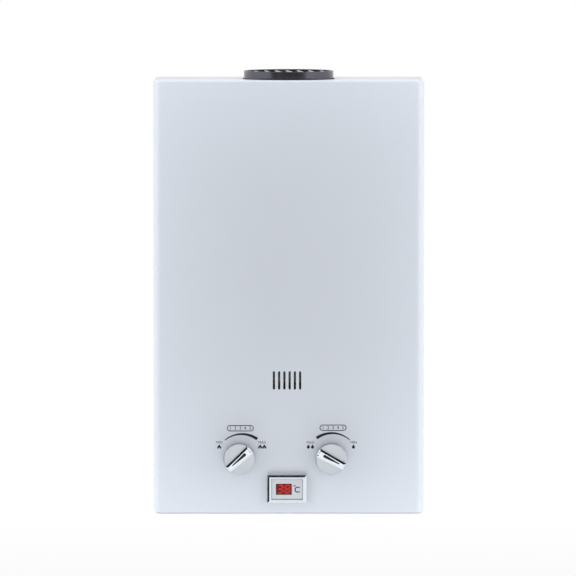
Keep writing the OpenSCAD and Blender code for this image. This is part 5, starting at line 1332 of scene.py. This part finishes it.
def drop_mark_outline(h, x, z):
    """Plain water drop."""
    r = DROP_ROUND * h
    round_part = arc((x, z - 0.5 * h + r), r, -180 - DROP_OPEN, DROP_OPEN, DROP_STEPS)
    flank_x, flank_z = DROP_FLANK_X * h, z + DROP_FLANK_Z * h
    return round_part + [(x + flank_x, flank_z), (x, z + 0.5 * h), (x - flank_x, flank_z)]


class HEATER_OT_marks(bpy.types.Operator):
    """Prints the scales, arcs and pictograms round the knobs"""
    bl_idname = "heater.marks"
    bl_label = "Printed marks"

    def execute(self, context):
        sizes = context.scene.heater_marks
        self.print_marks(sizes, "temperature", flame_outline, sizes.flame_h, 1)
        self.print_marks(sizes, "water", drop_mark_outline, sizes.drop_h, -1)
        return {"FINISHED"}

    def print_marks(self, sizes, name, icon, icon_h, high_side):
        """Marks of one knob, whose strong end is on the given side."""
        axis = middle(f"{name}_knob")
        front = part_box("front_cover")[0].y - sizes.film / 2
        arc_x, arc_z, pill_x, pill_z, icon_x = (
            getattr(sizes, f"{name}_{key}") for key in ("arc_x", "arc_z", "pill_x", "pill_z", "icon_x"))
        outlines = [moved(wedge_outline(sizes, *ARC_ENDS[name]), arc_x, arc_z)]
        line = sizes.pill_line
        for w, h in ((sizes.pill_w, sizes.pill_h), (sizes.pill_w - 2 * line, sizes.pill_h - 2 * line)):
            outlines.append(moved(pill_outline(w, h), pill_x, pill_z))
        strong, weak = icon_x + high_side * sizes.icon_x, icon_x - high_side * sizes.icon_x
        for side in (-0.5, 0.5):
            outlines.append(icon(icon_h, strong + side * sizes.icon_pitch, sizes.icon_z))
        outlines.append(icon(icon_h, weak, sizes.icon_z))
        marks = tidy_mesh(drawn(f"{name}_marks", outlines, sizes.film, (axis.x, front, axis.z)))
        words = [lettered("scale", "1  2  3  4  5", sizes.text_h, sizes.film,
                          (axis.x + pill_x, front, axis.z + pill_z))]
        for word, x in (("MAX", strong), ("MIN", weak)):
            place = (axis.x + x, front, axis.z + sizes.word_z)
            words.append(lettered("end_word", word, sizes.word_h, sizes.film, place))
        lettering = tidy_mesh(joined(words, f"{name}_lettering"))
        for piece in (marks, lettering):
            dressed(piece, HEATER, "panel_paint", "ink")


# Stage

WHITE = (1, 1, 1, 1)
FLOOR_TONE = (0.9, 0.9, 0.9, 1)
FLOOR_NEAR, FLOOR_FAR = 0.8, 3.0     # distances between which the floor turns all white
FLOOR_SHARE = 0.8                    # share of white on the floor nearby
FLAG_TONE = (0.01, 0.01, 0.013, 1)
UPRIGHT, LEVEL = (0.1, 1.0), (0.6, 0.1)     # widths and heights of the softboxes
SENSOR_WIDTH = 36


def light_path_seen(tree):
    """One for rays that show the background straight, mirrored or through glass, and zero for the rest."""
    path = wired(tree, "ShaderNodeLightPath").outputs
    straight = reckoned(tree, "MAXIMUM", path["Is Camera Ray"], path["Is Glossy Ray"])
    return reckoned(tree, "MAXIMUM", straight, path["Is Transmission Ray"])


def mixed(tree, share, first, second):
    """Shader that goes from the first to the second by a share."""
    return wired(tree, "ShaderNodeMixShader", {0: share, 1: first.outputs[0], 2: second.outputs[0]})


class HEATER_OT_stage(bpy.types.Operator):
    """Sets up the pale floor, the studio light and the camera"""
    bl_idname = "heater.stage"
    bl_label = "Stage"

    def execute(self, context):
        sizes = context.scene.heater_stage
        scene = context.scene
        scene.view_settings.view_transform = "Standard"
        low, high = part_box("front_cover")
        self.build_world(scene, sizes)
        self.build_floor(sizes, low.z - sizes.floor_drop)
        self.build_flags(high.z)
        self.build_lights(sizes, low, high)
        self.build_camera(scene, sizes, low.y)
        return {"FINISHED"}

    def build_world(self, scene, sizes):
        """Even light, white where it is seen."""
        scene.world = bpy.data.worlds.new("Studio")
        tree = emptied(scene.world)
        lit = wired(tree, "ShaderNodeBackground", {"Color": WHITE, "Strength": sizes.world})
        seen = wired(tree, "ShaderNodeBackground", {"Color": WHITE, "Strength": 1.0})
        mix = mixed(tree, light_path_seen(tree), lit, seen)
        wired(tree, "ShaderNodeOutputWorld", {"Surface": mix.outputs[0]})

    def build_floor(self, sizes, height):
        """Pale floor that stays white to the horizon, keeps the shadow and is clear from below."""
        floor = started("studio_floor", bpy.ops.mesh.primitive_plane_add, size=sizes.floor_size,
                        location=(0, 0, height))
        material = bpy.data.materials.new("studio_floor")
        tree = emptied(material)
        matt = wired(tree, "ShaderNodeBsdfDiffuse", {"Color": FLOOR_TONE})
        white = wired(tree, "ShaderNodeEmission", {"Color": WHITE, "Strength": 1.0})
        away = wired(tree, "ShaderNodeVectorMath", {0: object_place(tree)}, operation="LENGTH")
        far = wired(tree, "ShaderNodeMapRange", {"Value": away.outputs["Value"], "From Min": FLOOR_NEAR,
                                                 "From Max": FLOOR_FAR, "To Min": FLOOR_SHARE})
        share = reckoned(tree, "MULTIPLY", light_path_seen(tree), far.outputs[0])
        back = wired(tree, "ShaderNodeNewGeometry").outputs["Backfacing"]
        clear = wired(tree, "ShaderNodeBsdfTransparent")
        mix = mixed(tree, back, mixed(tree, share, matt, white), clear)
        wired(tree, "ShaderNodeOutputMaterial", {"Surface": mix.outputs[0]})
        floor.data.materials.append(material)

    def build_flags(self, top):
        """Dark cards that only gloss shows, so that chrome and enamel have something to mirror."""
        material = bpy.data.materials.new("studio_flag")
        tree = emptied(material)
        dark = wired(tree, "ShaderNodeEmission", {"Color": FLAG_TONE, "Strength": 1.0})
        clear = wired(tree, "ShaderNodeBsdfTransparent")
        gloss = wired(tree, "ShaderNodeLightPath").outputs["Is Glossy Ray"]
        mix = mixed(tree, gloss, clear, dark)
        wired(tree, "ShaderNodeOutputMaterial", {"Surface": mix.outputs[0]})
        # Lowest and highest corner of each card, the front one's heights about the cover's top.
        corners = {"above": ((-1.9, -2.2, 1.20), (1.1, -0.35, 1.21)),
                   "front": ((-1.3, -1.41, top - 0.13), (1.3, -1.40, top + 0.14)),
                   "left": ((-1.21, -1.9, -0.70), (-1.20, -0.25, 0.1))}
        for name, (low, high) in corners.items():
            flag = cuboid(f"studio_flag_{name}", low, high)
            flag.data.materials.append(material)

    def build_lights(self, sizes, low, high):
        """Upright softboxes left and right of the front, one above and one below."""
        near = low.y - sizes.lamp_out
        boxes = (("left", (low.x - sizes.lamp_gap, near, 0), UPRIGHT, sizes.side_light),
                 ("right", (high.x + sizes.lamp_gap, near, 0), UPRIGHT, sizes.side_light),
                 ("above", (0, near, high.z + sizes.lamp_gap), LEVEL, sizes.top_light),
                 ("below", (0, near, low.z - sizes.lamp_gap), LEVEL, sizes.low_light))
        for name, place, (width, height), power in boxes:
            alone()
            bpy.ops.object.light_add(type="AREA", location=place)
            lamp = bpy.context.object
            lamp.name = f"softbox_{name}"
            lamp.data.shape = "RECTANGLE"
            lamp.data.size, lamp.data.size_y = width, height
            lamp.data.energy = power
            lamp.visible_glossy = False
            lamp.visible_camera = False
            way = Vector((0, low.y, 0)) - Vector(place)
            lamp.rotation_euler = way.to_track_quat("-Z", "Y").to_euler()

    def build_camera(self, scene, sizes, front):
        """Long lens straight in front, a little above the middle."""
        alone()
        bpy.ops.object.camera_add()
        camera = bpy.context.object
        aim = Vector((sizes.aim_x, front, sizes.aim_z))
        back = Vector((0, -math.cos(sizes.elevation), math.sin(sizes.elevation)))
        camera.location = aim + back * sizes.distance
        camera.rotation_euler = (-back).to_track_quat("-Z", "Y").to_euler()
        camera.data.sensor_width = SENSOR_WIDTH
        camera.data.lens = SENSOR_WIDTH * sizes.distance / sizes.frame_size
        camera.data.clip_end = 10 * sizes.distance
        scene.camera = camera


class HEATER_PT_panel(bpy.types.Panel):
    """Steps that build the heater's looks"""
    bl_idname = "HEATER_PT_panel"
    bl_label = "Gas water heater"
    bl_space_type = "VIEW_3D"
    bl_region_type = "UI"
    bl_category = "Heater"

    def draw(self, context):
        for step in STEPS:
            self.layout.operator(step.bl_idname)


GROUPS = {
    "heater_cover": CoverSizes, "heater_flue": FlueSizes, "heater_knobs": KnobSizes,
    "heater_display": DisplaySizes, "heater_pipes": PipeSizes, "heater_spring": SpringSizes,
    "heater_marks": MarkSizes, "heater_stage": StageSizes, "heater_colours": FinishColours,
}
STEPS = (HEATER_OT_finishes, HEATER_OT_cover, HEATER_OT_flue, HEATER_OT_knobs, HEATER_OT_display,
         HEATER_OT_pipes, HEATER_OT_spring, HEATER_OT_marks, HEATER_OT_stage)
CLASSES = (*GROUPS.values(), *STEPS, HEATER_PT_panel)


def register():
    """Registers the classes and hangs the properties on the scene."""
    for kind in CLASSES:
        bpy.utils.register_class(kind)
    for name, kind in GROUPS.items():
        setattr(bpy.types.Scene, name, bpy.props.PointerProperty(type=kind))


def unregister():
    """Takes the properties and the classes away again."""
    for name in GROUPS:
        delattr(bpy.types.Scene, name)
    for kind in reversed(CLASSES):
        bpy.utils.unregister_class(kind)


def main():
    """Builds the looks step by step."""
    register()
    bpy.ops.heater.finishes()
    bpy.ops.heater.cover()
    bpy.ops.heater.flue()
    bpy.ops.heater.knobs()
    bpy.ops.heater.display()
    bpy.ops.heater.pipes()
    bpy.ops.heater.spring()
    bpy.ops.heater.marks()
    bpy.ops.heater.stage()


if __name__ == "__main__":
    main()
